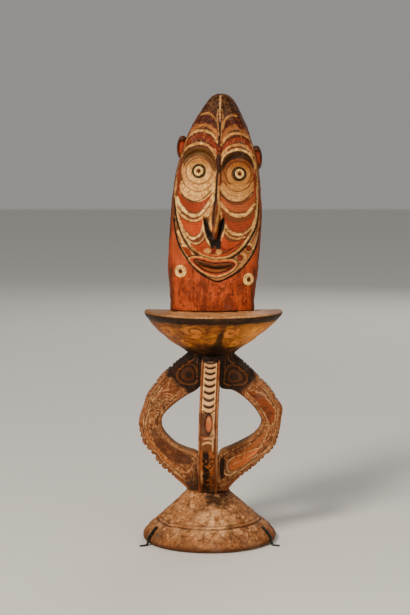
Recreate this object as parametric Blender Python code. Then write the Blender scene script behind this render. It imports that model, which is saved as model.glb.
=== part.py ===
"""Carved ancestor figure: a tall painted head standing in a round dish, carried by four curved openwork arms on a conical foot.

Metres, +Z up, the front looks along -Y. The origin is the centre of the foot's resting face.
Lengths in the tables below are millimetres and are turned into metres by MM.
"""

import math

import bmesh
import bpy
import numpy as np
from mathutils import Matrix, Vector

for old in list(bpy.data.objects):
    bpy.data.objects.remove(old, do_unlink=True)

# ---------------------------------------------------------------- driving dimensions, in millimetres
MM = 0.001
GAP = 0.3  # clearance between neighbouring pieces
ROUND = 32  # sides of a turned piece

FOOT_CONTACT_R = 111.6  # resting circle of the foot
FOOT_TOP_Z, FOOT_TOP_R = 89.6, 38.7  # flat that carries the arms
DISH_TOP_Z, DISH_R = 416.5, 124.0
DISH_BOSS_Z, DISH_BOSS_R = 339.3, 41.4  # flat under the dish that the arms meet
DISH_X = 7.2  # the dish sits a little to one side, as it was cut
FALL_BACK, FALL_FRONT, FALL_LINE = 0.095, 0.020, 9.0  # slopes of the dish's top behind and before this line
HUB = 16.5  # half width of the square posts in the middle of the cage
HUB_LOW_Z, HUB_HIGH_Z = 151.0, 284.4  # where the lower post ends and the upper one begins
CAGE_X, CAGE_LEAN = -2.7, math.radians(1.45)  # the cage leans slightly to the right

ARM_W = 16.5  # half width of an arm
SPINE_W, SPINE_H = 12.4, 2.6  # toothed spine down the middle of an arm's outer face
TENON_W, TENON_L = 5.0, 9.0
TENON_LOW, TENON_HIGH = (104.0, 140.0), (296.0, 328.0)
NECK_TENON = (34.0, 12.0, 22.0)  # half width, half depth, length

EYE_BED_R, EYE_BED_T = 12.2, 4.0
EYE_SHELL_R, EYE_SHELL_HOLE, EYE_SHELL_T = 8.9, 3.0, 2.0
CHEEK_SHELL_R, CHEEK_HOLE, CHEEK_T = 11.4, 3.3, 2.4
CHEEK_PEG_L = 14.0
BOSS_R, BOSS_L = 5.2, 14.0
CLIP_W, CLIP_T, CLIP_FOOT, CLIP_OFF = 7.0, 1.5, 14.0, 2.7

# The foot's profile: radius, height.
FOOT_PROFILE = [
    (111.6, 0.0), (117.6, 1.6), (120.8, 5.2), (120.4, 9.9), (117.0, 15.6), (109.8, 23.8), (98.2, 34.0), (86.0, 44.1),
    (74.6, 54.2), (63.6, 64.3), (51.4, 75.5), (42.0, 84.6), (38.7, 89.6),
]
# The dish's profile from the rim down: radius, height.
DISH_PROFILE = [
    (118.0, 416.5), (123.0, 415.6), (124.4, 413.0), (122.0, 407.4), (115.6, 398.8), (107.2, 389.8), (97.8, 380.8), (87.4, 371.8),
    (75.8, 362.8), (62.4, 353.6), (49.4, 344.6), (41.4, 339.3),
]
# The arm's outer and inner edges, station by station from foot to dish: (radius, height), (radius, height).
ARM_STATIONS = [
    ((35.1, 90.0), (16.8, 90.0)), ((45.9, 104.4), (16.8, 122.4)), ((58.5, 116.1), (16.8, 147.6)), ((72.0, 126.9), (22.5, 161.6)),
    ((85.5, 138.6), (37.8, 170.6)), ((98.1, 153.0), (53.1, 180.0)), ((111.6, 169.2), (67.5, 191.7)), ((120.6, 187.2), (79.2, 203.4)),
    ((124.6, 207.0), (84.6, 213.3)), ((124.9, 225.0), (85.1, 221.4)), ((124.2, 243.0), (79.2, 231.3)), ((116.6, 260.1), (69.3, 241.2)),
    ((104.4, 278.1), (56.7, 252.0)), ((90.0, 295.2), (41.4, 262.8)), ((74.7, 310.5), (26.1, 271.8)), ((59.4, 324.0), (16.8, 284.4)),
    ((47.7, 333.0), (16.8, 309.6)), ((40.5, 338.9), (16.8, 338.9)),
]
# How much further out than the common curve an arm stands at each station.
PLAIN = [0.0] * 18
LEFT_SWELL = [0.0, 6.0, 8.0, 8.0, 7.0, 3.5, 5.0, 3.5, 3.0, 0.0, -5.0, -2.5, -2.0, 0.0, 0.0, 0.0, 0.0, 0.0]
RIGHT_SWELL = [0.0, 0.0, 0.0, 0.0, 0.0, 2.0, 4.0, 3.0, 2.5, 4.0, 6.0, 3.0, 3.0, 0.0, 0.0, 0.0, 0.0, 0.0]
# How far the inner edge is moved at each station: outwards, upwards.
INNER_AS_IS = [(0.0, 0.0)] * 18
RIGHT_INNER = [(0.0, 0.0)] * 4 + [(3.2, 0.0), (5.4, -0.5), (9.5, -1.0), (9.3, -0.9), (8.4, -0.8), (7.9, 0.0), (8.8, -0.3), (11.2, 0.8), (12.8, 1.5), (14.6, 1.7),
                                  (13.9, 1.7), (0.0, -4.9), (0.0, 0.0), (0.0, 0.0)]
LEFT_INNER = [(0.0, 0.0)] * 3 + [(0.0, -3.0), (2.0, -6.5), (4.0, -8.5), (5.5, -7.2), (4.8, -5.0), (2.0, -3.0)] + [(0.0, 0.0)] * 9
# name, direction of the arm, sideways set, teeth of the upper half (number, height), teeth of the lower half, swell, inner edge
ARMS = [
    ("arm_front", -90.0, -0.0314, (9, 2.2), (3, 0.8), PLAIN, INNER_AS_IS),
    ("arm_right", 0.0, 0.0, (14, 2.8), (7, 2.6), RIGHT_SWELL, RIGHT_INNER),
    ("arm_back", 90.0, 0.0, (9, 2.2), (3, 0.8), PLAIN, INNER_AS_IS),
    ("arm_left", 180.0, 0.0, (14, 2.8), (7, 4.4), LEFT_SWELL, LEFT_INNER),
]
TEETH_LOW, TEETH_HIGH = (0.11, 0.44), (0.60, 0.93)  # stretches of the arm that are toothed

# The head's outline: height, centre line, half width.
HEAD_OUTLINE = [
    (416.8, 5.4, 75.6), (434.0, 5.4, 75.8), (452.0, 5.5, 77.2), (470.0, 6.2, 79.4), (488.0, 6.8, 81.0), (505.6, 7.4, 81.6),
    (523.4, 8.6, 81.7), (541.2, 9.8, 82.0), (559.0, 10.8, 82.1), (577.0, 11.8, 82.0), (594.7, 12.5, 81.3), (612.5, 12.7, 79.8),
    (630.3, 13.3, 78.2), (648.1, 14.0, 76.3), (666.0, 14.7, 73.6), (683.8, 15.3, 69.6), (701.6, 15.9, 64.6), (719.4, 16.3, 58.8),
    (737.2, 16.9, 52.2), (755.0, 18.0, 43.6), (772.8, 19.7, 33.6), (784.0, 20.4, 26.8), (792.0, 20.7, 20.6), (797.6, 20.8, 14.2),
    (800.6, 20.8, 7.4), (801.4, 20.8, 0.0),
]
HEAD_FRONT = [(416.8, 0.500), (505.0, 0.530), (620.0, 0.570), (684.0, 0.610), (720.0, 0.670), (755.0, 0.760), (801.4, 0.880)]
HEAD_BACK = [(416.8, 0.400), (620.0, 0.430), (720.0, 0.500), (801.4, 0.620)]
HEAD_MID = [(416.8, 9.0), (700.0, 8.0), (801.4, 3.0)]  # where the head is widest, behind the face

# Features of the face: centre (x, z) in millimetres.
EYES = {"left": (-19.0, 664.0), "right": (52.6, 659.2)}
CHEEKS = {"left": (-51.2, 486.8), "right": (69.2, 472.2)}
FOREHEAD = (17.4, 703.0)
NOSE_LINE = [(420.0, 9.0), (540.0, 6.0), (576.0, 8.0), (610.0, 12.2), (665.0, 15.4), (700.0, 17.4), (801.4, 20.8)]
NOSE_HEIGHT = [(533.0, 0.0), (540.0, 3.0), (548.0, 14.0), (556.0, 16.5), (570.0, 15.0), (590.0, 10.5), (620.0, 7.0), (660.0, 5.0),
               (690.0, 2.0), (700.0, 1.5), (720.0, 3.0), (770.0, 3.0), (795.0, 0.5)]
NOSE_WIDTH = [(533.0, 5.0), (548.0, 7.0), (566.0, 12.5), (584.0, 11.0), (620.0, 6.5), (660.0, 5.5), (700.0, 5.0), (801.4, 5.0)]
# Closed outlines on the face, (x, z).
FACE_OVAL = [
    (13.3, 507.0), (-5.0, 510.6), (-18.8, 518.2), (-34.6, 533.8), (-45.8, 551.0), (-52.9, 576.4), (-56.8, 601.3), (-58.6, 625.0),
    (-58.6, 645.2), (-55.0, 666.0), (-49.7, 683.6), (-43.5, 701.0), (-38.2, 718.7), (-31.0, 736.0), (-19.0, 760.0), (-4.0, 782.0),
    (20.0, 792.0), (42.0, 782.0), (56.0, 760.0), (65.7, 736.3), (74.0, 711.0), (80.0, 692.0), (85.2, 666.0), (86.6, 639.0),
    (85.0, 617.0), (82.5, 585.7), (74.7, 554.2), (63.5, 535.4), (50.9, 521.4), (33.5, 510.3),
]
JAW_OVAL = [
    (14.4, 468.8), (-3.0, 474.3), (-18.8, 485.2), (-34.6, 501.0), (-45.8, 516.6), (-53.6, 535.4), (-58.4, 554.2), (-60.9, 574.6),
    (-60.0, 600.0), (-56.0, 640.0), (80.0, 640.0), (86.0, 600.0), (87.3, 578.1), (85.7, 554.2), (82.5, 532.4), (76.3, 513.5),
    (65.1, 497.8), (50.9, 483.6), (33.5, 474.3),
]
MOUTH = [(-23.6, 501.6), (0.0, 496.0), (22.0, 494.0), (41.4, 497.8), (33.5, 488.0), (14.0, 483.0), (-8.0, 486.5)]


# ---------------------------------------------------------------- small mathematics
def smooth_curve(points, per_span):
    """Catmull-Rom curve through points, open, with per_span steps in each span."""
    p = np.array(points, float)
    p = np.vstack([2 * p[0] - p[1], p, 2 * p[-1] - p[-2]])
    rows = []
    for i in range(1, len(p) - 2):
        for k in range(per_span):
            t = k / per_span
            rows.append(
                0.5 * (2 * p[i] + (p[i + 1] - p[i - 1]) * t + (2 * p[i - 1] - 5 * p[i] + 4 * p[i + 1] - p[i + 2]) * t * t
                       + (3 * p[i] - p[i - 1] - 3 * p[i + 1] + p[i + 2]) * t ** 3)
            )
    rows.append(p[-2])
    return np.array(rows)


def closed_curve(points, per_span=4):
    p = list(points)
    n = len(p)
    wrapped = [p[-1]] + p + [p[0], p[1]]
    return smooth_curve(wrapped, per_span)[per_span:per_span * (n + 1)]


def table(rows, at, column=1):
    rows = np.array(rows, float)
    return np.interp(at, rows[:, 0], rows[:, column])


def smoothstep(a, b, x):
    t = np.clip((x - a) / (b - a), 0.0, 1.0)
    return t * t * (3 - 2 * t)


def inside_by(outline, x, z):
    """How far (x, z) lies inside a closed outline, negative outside."""
    p = np.asarray(outline, float)
    q = np.roll(p, -1, axis=0)
    x, z = np.atleast_1d(np.asarray(x, float)), np.atleast_1d(np.asarray(z, float))
    best = np.full(x.shape, 1e9)
    inside = np.zeros(x.shape, bool)
    for (ax, az), (bx, bz) in zip(p, q):
        dx, dz = bx - ax, bz - az
        t = np.clip(((x - ax) * dx + (z - az) * dz) / (dx * dx + dz * dz + 1e-12), 0, 1)
        best = np.minimum(best, np.hypot(x - ax - t * dx, z - az - t * dz))
        crosses = (az > z) != (bz > z)
        with np.errstate(divide="ignore", invalid="ignore"):
            at = ax + (z - az) * dx / np.where(dz == 0, 1e-12, dz)
        inside ^= crosses & (x < at)
    return np.where(inside, best, -best)


# ---------------------------------------------------------------- the head's surface
FACE_CURVE, JAW_CURVE, MOUTH_CURVE = closed_curve(FACE_OVAL), closed_curve(JAW_OVAL), closed_curve(MOUTH)
OUTLINE = smooth_curve(HEAD_OUTLINE, 6)


def head_section(z):
    """Centre line, half width, mid plane and the depths of front and back at a height."""
    cx = np.interp(z, OUTLINE[:, 0], OUTLINE[:, 1])
    hw = np.interp(z, OUTLINE[:, 0], OUTLINE[:, 2])
    return cx, hw, table(HEAD_MID, z), hw * table(HEAD_FRONT, z), hw * table(HEAD_BACK, z)


def relief(x, z):
    """How far the carving stands forward of the plain head, in millimetres."""
    x, z = np.broadcast_arrays(np.atleast_1d(np.asarray(x, float)), np.atleast_1d(np.asarray(z, float)))
    rise = 3.0 * smoothstep(-1.0, 2.5, inside_by(FACE_CURVE, x, z))
    rise = rise + 2.2 * smoothstep(-1.0, 2.5, inside_by(JAW_CURVE, x, z))
    rise = rise - 5.0 * smoothstep(0.0, 4.0, inside_by(MOUTH_CURVE, x, z))
    for ex, ez in EYES.values():
        # a brow arches over each eye and the eye's ground slopes back up to it
        above = np.hypot(x - ex, z - (ez + 8.5))
        arch = smoothstep(30.5, 25.5, above)
        rise = rise - arch * 8.0 * smoothstep(ez - 30.0, ez + 34.0, z)
    line = table(NOSE_LINE, z)
    off = np.abs(x - line)
    width = table(NOSE_WIDTH, z)
    rise = rise + table(NOSE_HEIGHT, z) * np.clip(1 - (off / width) ** 1.6, 0, 1) * (z > 533.0)
    for side in (-1, 1):
        # nostrils: two long hollows beside the tip of the nose
        along = (z - 547.0) / 38.0
        mid = 7.5 + side * (3.5 + 13.0 * along)
        hollow = smoothstep(4.8, 1.5, np.abs(x - mid)) * smoothstep(-0.12, 0.1, along) * smoothstep(1.12, 0.8, along)
        rise = rise - 8.0 * hollow * np.ones_like(rise)
    return rise


def front_y(x, z, carved=True):
    """Depth of the head's front surface at (x, z)."""
    cx, hw, mid, front, _ = head_section(z)
    share = np.clip(np.abs((x - cx) / np.maximum(hw, 1e-6)), 0, 0.9999)
    y = mid - front * (1 - share ** 2.3) ** (1 / 2.3)
    if carved:
        fade = smoothstep(1.0, 0.86, share)
        y = y - relief(x, z) * fade
        for ex, ez in EYES.values():
            y = flatten(x, z, y, ex, ez, 13.5, 18.0, 5.2)
        for ex, ez in CHEEKS.values():
            y = flatten(x, z, y, ex, ez, 11.6, 14.0, 0.0)
    return y


def plane_at(ex, ez, sink):
    """The plane that an inlay's seat is cut to: depth at its centre and its two slopes."""
    d = 6.0
    y0 = float(front_y(ex, ez, False)) + sink - 3.0 * (sink > 0)
    sx = float(front_y(ex + d, ez, False) - front_y(ex - d, ez, False)) / (2 * d)
    sz = float(front_y(ex, ez + d, False) - front_y(ex, ez - d, False)) / (2 * d)
    if sink > 0:
        sz += 0.10  # an eye looks a little upwards, out from under its brow
    return y0, sx, sz


def flatten(x, z, y, ex, ez, inner, outer, sink):
    y0, sx, sz = plane_at(ex, ez, sink)
    r = np.hypot(x - ex, z - ez)
    w = smoothstep(outer, inner, r)
    return y * (1 - w) + (y0 + sx * (x - ex) + sz * (z - ez)) * w


def seat_matrix(ex, ez, sink):
    """Frame of an inlay's seat: origin on the seat, local +Z out of the wood."""
    y0, sx, sz = plane_at(ex, ez, sink)
    normal = Vector((sx, -1.0, sz)).normalized()
    side = Vector((1.0, sx, 0.0)).normalized()
    up = normal.cross(side).normalized()
    m = Matrix((side, up, normal)).transposed().to_4x4()
    m.translation = Vector((ex, y0, ez)) * MM
    return m


# ---------------------------------------------------------------- building blocks
MATERIALS = {}


def material(name, colour, roughness, metallic=0.0):
    m = bpy.data.materials.new(name)
    m.use_nodes = True
    p = m.node_tree.nodes["Principled BSDF"]
    p.inputs["Base Color"].default_value = (*colour, 1.0)
    p.inputs["Roughness"].default_value = roughness
    p.inputs["Metallic"].default_value = metallic
    m.diffuse_color = (*colour, 1.0)
    MATERIALS[name] = m
    return m


material("painted_wood", (0.42, 0.12, 0.05), 0.75)
material("carved_wood", (0.23, 0.11, 0.055), 0.7)
material("dish_wood", (0.28, 0.14, 0.05), 0.65)
material("foot_wood", (0.26, 0.15, 0.09), 0.8)
material("dark_wood", (0.07, 0.03, 0.018), 0.6)
material("cone_shell", (0.80, 0.62, 0.40), 0.35)
material("black_resin", (0.02, 0.016, 0.013), 0.45)
material("black_steel", (0.015, 0.015, 0.016), 0.4, 0.8)


def add(name, mesh_builder, slot, keep=True, smooth=35.0):
    """A new object from a bmesh in metres."""
    bmesh.ops.recalc_face_normals(mesh_builder, faces=mesh_builder.faces)
    me = bpy.data.meshes.new(name)
    mesh_builder.to_mesh(me)
    mesh_builder.free()
    ob = bpy.data.objects.new(name, me)
    bpy.context.scene.collection.objects.link(ob)
    if slot:
        me.materials.append(MATERIALS[slot])
    me.shade_smooth()
    me.set_sharp_from_angle(angle=math.radians(smooth))
    if not keep:
        ob.hide_render = True
        ob.display_type = "WIRE"
    return ob


def rings(sections, cap_ends=True):
    """A bmesh from closed rings of points in millimetres, bridged one to the next."""
    bm = bmesh.new()
    made = [[bm.verts.new(Vector(p) * MM) for p in ring] for ring in sections]
    for low, high in zip(made, made[1:]):
        n = len(low)
        for i in range(n):
            bm.faces.new((low[i], low[(i + 1) % n], high[(i + 1) % n], high[i]))
    if cap_ends:
        bm.faces.new(made[0][::-1])
        bm.faces.new(made[-1])
    return bm


def turned(profile, centre, sides=ROUND, wobble=0.0, seed=0.0):
    """Rings of a turned or hand-rounded piece: centre(z) gives the axis, and wobble makes it hand-cut."""
    out = []
    for r, z in profile:
        ring = []
        for k in range(sides):
            a = 2 * math.pi * k / sides
            rr = r * (1 + wobble * (math.sin(3 * a + seed) + 0.6 * math.sin(5 * a + 2 * seed)))
            cx, cy = centre(z)
            ring.append((cx + rr * math.cos(a), cy + rr * math.sin(a), z))
        out.append(ring)
    return out


def box(centre, half, name, keep=False, slot=None, matrix=None):
    bm = bmesh.new()
    bmesh.ops.create_cube(bm, size=2.0)
    for v in bm.verts:
        v.co = Vector([(centre[i] + v.co[i] * half[i]) * MM for i in range(3)])
    ob = add(name, bm, slot, keep)
    if matrix is not None:
        ob.data.transform(matrix)
    return ob


def cylinder(radius, low, high, name, matrix, keep=False, slot=None, sides=24, top=None):
    """A cylinder, or with top a list of (radius, height) rings, in a seat's own frame."""
    profile = [(radius, low), (radius, high)] if top is None else [(radius, low)] + list(top)
    bm = rings([[(r * math.cos(2 * math.pi * k / sides), r * math.sin(2 * math.pi * k / sides), z) for k in range(sides)]
                for r, z in profile])
    ob = add(name, bm, slot, keep)
    ob.data.transform(matrix)
    return ob


def washer(outer, hole, low, high, name, matrix, slot, sides=22, crown=0.4):
    """A ring with a crowned face, such as a ground cone-shell disc."""
    loop = [(hole, low), (outer, low), (outer, high - crown), (outer - 1.4, high), (hole + 1.0, high), (hole, high - crown)]
    bm = bmesh.new()
    made = [[bm.verts.new(Vector((r * math.cos(2 * math.pi * k / sides), r * math.sin(2 * math.pi * k / sides), z)) * MM)
             for r, z in loop] for k in range(sides)]
    for k in range(sides):
        a, b = made[k], made[(k + 1) % sides]
        for i in range(len(loop)):
            j = (i + 1) % len(loop)
            bm.faces.new((a[i], a[j], b[j], b[i]))
    ob = add(name, bm, slot)
    ob.data.transform(matrix)
    return ob


def boolean(target, other, operation):
    m = target.modifiers.new(operation.lower() + "_" + other.name, "BOOLEAN")
    m.operation = operation
    m.solver = "EXACT"
    m.object = other
    return m


# ---------------------------------------------------------------- foot
CAGE = Matrix.Translation((CAGE_X * MM, 0, FOOT_TOP_Z * MM)) @ Matrix.Rotation(CAGE_LEAN, 4, "Y") @ Matrix.Translation((0, 0, -FOOT_TOP_Z * MM))


def on_cage(p):
    q = CAGE @ (Vector(p) * MM)
    return tuple(c / MM for c in q)


def foot_axis(z):
    return CAGE_X * z / FOOT_TOP_Z, 0.0


foot_rings = turned(FOOT_PROFILE, foot_axis, wobble=0.004, seed=0.7)
foot_rings[0] = [(FOOT_CONTACT_R * math.cos(2 * math.pi * k / ROUND), FOOT_CONTACT_R * math.sin(2 * math.pi * k / ROUND), 0.0) for k in range(ROUND)]
foot_rings[-1] = [on_cage((FOOT_TOP_R * math.cos(2 * math.pi * k / ROUND), FOOT_TOP_R * math.sin(2 * math.pi * k / ROUND), FOOT_TOP_Z)) for k in range(ROUND)]
foot = add("foot", rings(foot_rings), "foot_wood")
low_post = box((0, 0, (FOOT_TOP_Z - 12 + HUB_LOW_Z) / 2), (HUB, HUB, (HUB_LOW_Z - FOOT_TOP_Z + 12) / 2), "low_post", matrix=CAGE)
boolean(foot, low_post, "UNION")

# ---------------------------------------------------------------- dish
def dish_axis(z):
    upper = on_cage((0, 0, DISH_BOSS_Z))[0]
    t = (z - DISH_BOSS_Z) / (DISH_TOP_Z - DISH_BOSS_Z)
    return upper + (DISH_X - upper) * t - 1.8 * math.sin(math.pi * min(1.0, 1.3 * t)), 0.0


def top_fall(y, z):
    """How much lower than at the middle line the dish's top and rim lie; the fall dies out down the dish's side."""
    fall = -FALL_BACK * (y - FALL_LINE) if y > FALL_LINE else FALL_FRONT * (y - FALL_LINE)
    return fall * float(smoothstep(372.0, 412.0, z))


dish_rings = turned(DISH_PROFILE, dish_axis, wobble=0.005, seed=2.1)
for (_, z), ring in zip(DISH_PROFILE, dish_rings):  # the rim's two side corners lie on the line that the top falls away from
    for k, side in ((0, 1), (ROUND // 2, -1)):
        axis, y = dish_axis(z)[0], FALL_LINE * float(smoothstep(372.0, 412.0, z))
        ring[k] = (axis + side * math.sqrt((ring[k][0] - axis) ** 2 - y * y), y, z)
dish_rings = [[(x, y, z + top_fall(y, z)) for x, y, z in ring] for ring in dish_rings]
dish_rings[-1] = [on_cage((DISH_BOSS_R * math.cos(2 * math.pi * k / ROUND), DISH_BOSS_R * math.sin(2 * math.pi * k / ROUND), DISH_BOSS_Z)) for k in range(ROUND)]
bm = rings(dish_rings[::-1], cap_ends=False)
bm.verts.ensure_lookup_table()
low, high = list(bm.verts)[:ROUND], list(bm.verts)[-ROUND:]
bm.faces.new(low[::-1])
bm.faces.new(high[:ROUND // 2 + 1])
bm.faces.new(high[ROUND // 2:] + high[:1])
dish = add("dish", bm, "dish_wood")
high_post = box((0, 0, (DISH_BOSS_Z + 12 + HUB_HIGH_Z) / 2), (HUB, HUB, (DISH_BOSS_Z + 12 - HUB_HIGH_Z) / 2), "high_post", matrix=CAGE)
boolean(dish, high_post, "UNION")
neck_slot = box((HEAD_OUTLINE[0][1], 9.0, DISH_TOP_Z - NECK_TENON[2] / 2 + 5), (NECK_TENON[0] + GAP, NECK_TENON[1] + GAP, NECK_TENON[2] / 2 + 5.6), "neck_slot")
boolean(dish, neck_slot, "DIFFERENCE")

# ---------------------------------------------------------------- arms
def arm_stations(teeth_high, teeth_low, swell, inner):
    """Outer edge, inner edge and tooth height along the arm."""
    flat = [[o[0] + out, o[1], i[0] + dr, i[1] + dz] for (o, i), out, (dr, dz) in zip(ARM_STATIONS, swell, inner)]
    fine = smooth_curve(flat, 40)
    t = np.linspace(0, 1, len(fine))
    marks = {0.0, 1.0, 0.03, 0.07, 0.11, 0.47, 0.5, 0.53, 0.565, 0.6, 0.93, 0.965}
    saw = {}
    for (count, height), (a, b) in ((teeth_low, TEETH_LOW), (teeth_high, TEETH_HIGH)):
        step = (b - a) / count
        for k in range(count):
            for share, up in ((0.05, 0.0), (0.7, 1.0)):
                at = round(a + (k + share) * step, 5)
                saw[at] = up * height
                marks.add(at)
    at = np.array(sorted(marks))
    rise = np.array([saw.get(a, 0.0) for a in at])
    base = np.array([np.interp(at, t, fine[:, c]) for c in range(4)]).T
    base[:, 2] = np.maximum(base[:, 2], ARM_STATIONS[0][1][0])
    base[:, 1] = np.clip(base[:, 1], ARM_STATIONS[0][0][1], ARM_STATIONS[-1][0][1])
    return at, base, rise


def build_arm(name, direction, sideways, teeth_high, teeth_low, swell, inner):
    at, base, rise = arm_stations(teeth_high, teeth_low, swell, inner)
    turn = Matrix.Rotation(math.radians(direction), 4, "Z")
    largest = {True: teeth_high[1], False: teeth_low[1]}
    sections = []
    for k, (o_r, o_z, i_r, i_z) in enumerate(base):
        out = np.array([o_r - i_r, o_z - i_z])
        out /= np.linalg.norm(out)
        tooth = SPINE_H * (0.0 if k in (0, len(base) - 1) else 1.0)
        lift = rise[k] - largest[at[k] > 0.5]
        shoulder = np.array([o_r, o_z]) - out * (tooth + 0.4 * largest[at[k] > 0.5])
        crest = np.array([o_r, o_z]) + out * (lift if tooth else 0.0)
        if not tooth:
            shoulder = crest = np.array([o_r, o_z])
        if k in (0, len(base) - 1):
            crest = shoulder + np.array([0.6, 0.0])
        inner = np.array([i_r, i_z])
        cut = 2.0 if 0.16 < at[k] < 0.84 else 0.0  # the inner corners are eased where the arm is free
        pts = [
            (inner, -ARM_W + cut), (inner, ARM_W - cut), (inner + out * max(cut, 0.6), ARM_W), (shoulder - out * 1.5, ARM_W), (shoulder, ARM_W - 1.5),
            (shoulder, SPINE_W + 0.6), (crest, SPINE_W - 0.6), (crest, -SPINE_W + 0.6), (shoulder, -SPINE_W - 0.6),
            (shoulder, -ARM_W + 1.5), (shoulder - out * 1.5, -ARM_W), (inner + out * max(cut, 0.6), -ARM_W),
        ]
        if k in (0, len(base) - 1):
            z = o_z
            pts = [(np.array([p[0], z]), b) for p, b in pts]
            pts[2] = (inner + np.array([0.6, 0.0]), ARM_W)
            pts[11] = (inner + np.array([0.6, 0.0]), -ARM_W)
            pts[0], pts[1] = (inner, -ARM_W + 0.6), (inner, ARM_W - 0.6)
        elif cut == 0.0:
            pts[0], pts[1] = (inner, -ARM_W + 0.6), (inner, ARM_W - 0.6)
        sections.append([(p[0], b + sideways * (p[0] - 16.8), p[1]) for p, b in pts])
    bm = rings(sections)
    ob = add(name, bm, "carved_wood", smooth=28.0)
    ob.data.transform(CAGE @ turn)
    for label, (low, high) in (("low", TENON_LOW), ("high", TENON_HIGH)):
        tongue = box((16.8 - TENON_L / 2 + 3, 0, (low + high) / 2), (TENON_L / 2 + 3, TENON_W, (high - low) / 2), f"{name}_tenon_{label}", matrix=CAGE @ turn)
        boolean(ob, tongue, "UNION")
        hole = box((16.8 - TENON_L / 2 + 3, 0, (low + high) / 2), (TENON_L / 2 + 3 + GAP, TENON_W + GAP, (high - low) / 2 + GAP), f"{name}_mortise_{label}", matrix=CAGE @ turn)
        boolean(foot if label == "low" else dish, hole, "DIFFERENCE")
    return ob


for row in ARMS:
    build_arm(*row)

# ---------------------------------------------------------------- head
def head_rows():
    rows = list(np.arange(416.8, 470.0, 12.0)) + list(np.arange(472.0, 760.0, 10.0)) + [766.0, 776.0, 784.0, 790.5, 795.5, 799.0, 800.9]
    return rows


SIDE_STEPS = (0.30, 0.44, 0.58, 0.71, 0.82, 0.91, 0.97)  # columns of the face between the nose and the edge
NOSE_STEPS = (4.2, 8.6, 13.5)
FRONT_COLUMNS = 2 * (len(SIDE_STEPS) + len(NOSE_STEPS) + 1) + 1
BACK_COLUMNS = 10


def head_ring(z):
    cx, hw, mid, front, back = (float(v) for v in head_section(z))
    ridge = float(table(NOSE_LINE, z))
    near = min(1.0, hw / 60.0)
    xs = [ridge]
    for side in (-1, 1):
        reach = hw + side * (cx - ridge)
        row = [ridge + side * d * near for d in NOSE_STEPS] + [ridge + side * reach * s for s in SIDE_STEPS] + [cx + side * hw]
        xs = row[::-1] + xs if side < 0 else xs + row
    ring = []
    for k, x in enumerate(xs):
        edge = k in (0, len(xs) - 1)
        ring.append((x, mid if edge else float(front_y(x, z)[0]), z))
    for k in range(1, BACK_COLUMNS):  # right to left across the back
        a = math.pi * k / BACK_COLUMNS
        c, s = math.cos(a), math.sin(a)
        ring.append((cx + hw * math.copysign(abs(c) ** (2 / 2.8), c), mid + back * s ** (2 / 2.8), z))
    return ring


head_rings = [head_ring(z) for z in head_rows()]
head_rings[0] = [(x, y, z + top_fall(y, 416.5)) for x, y, z in head_rings[0]]
bm = rings(head_rings, cap_ends=False)
bm.verts.ensure_lookup_table()
n = FRONT_COLUMNS + BACK_COLUMNS - 1
low = list(bm.verts)[:n]
high = list(bm.verts)[-n:]
bm.faces.new(low[:FRONT_COLUMNS][::-1])
bm.faces.new((low[FRONT_COLUMNS - 1:] + low[:1])[::-1])
peak_section = head_section(801.4)
peak = bm.verts.new(Vector((float(peak_section[0]), float(peak_section[2]), 801.4)) * MM)
for k in range(n):
    bm.faces.new((high[k], high[(k + 1) % n], peak))
head = add("head", bm, "painted_wood", smooth=40.0)
tenon = box((HEAD_OUTLINE[0][1], 9.0, 416.8 - NECK_TENON[2] / 2 + 4), (NECK_TENON[0], NECK_TENON[1], NECK_TENON[2] / 2 + 4), "neck_tenon")
boolean(head, tenon, "UNION")

# ears: pierced-looking lugs let into the sides of the head
EARS = {"left": ((-48.4, 6.0, 706.6), 20.5, -1), "right": ((84.2, 4.0, 688.0), 21.5, 1)}


def ear(name, centre, tall, side, extra=0.0, keep=True):
    """A lug with a hollow in its front; extra grows it, for the pocket that it sits in."""
    cx, cy, cz = centre
    sections = []
    for a in np.linspace(-1, 1, 9):
        h = (tall + extra) * math.sin(a * math.pi / 2 * 0.97)
        w = math.sqrt(max(0.0, 1 - (h / (tall + extra)) ** 2))
        reach, deep = (8.6 + extra) * w + 1.2, (6.4 + extra) * w + 1.0
        tilt = 0.10 * h
        ring = []
        for k in range(12):
            b = 2 * math.pi * k / 12
            x, y = reach * math.cos(b), deep * math.sin(b)
            if extra == 0.0 and abs(h) < tall * 0.62 and math.sin(b) < -0.4 and abs(math.cos(b)) < 0.8:
                y += 5.0 * (1 - (h / (tall * 0.62)) ** 2)  # the hollow
            ring.append((cx + x - tilt * side * 0.5, cy + y, cz + h))
        sections.append(ring)
    return add(name, rings(sections), "dark_wood" if keep else None, keep)


for side, (centre, tall, sign) in EARS.items():
    ear(f"ear_{side}", centre, tall, sign)
    pocket = ear(f"ear_pocket_{side}", centre, tall, sign, extra=0.5, keep=False)
    boolean(head, pocket, "DIFFERENCE")

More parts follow.
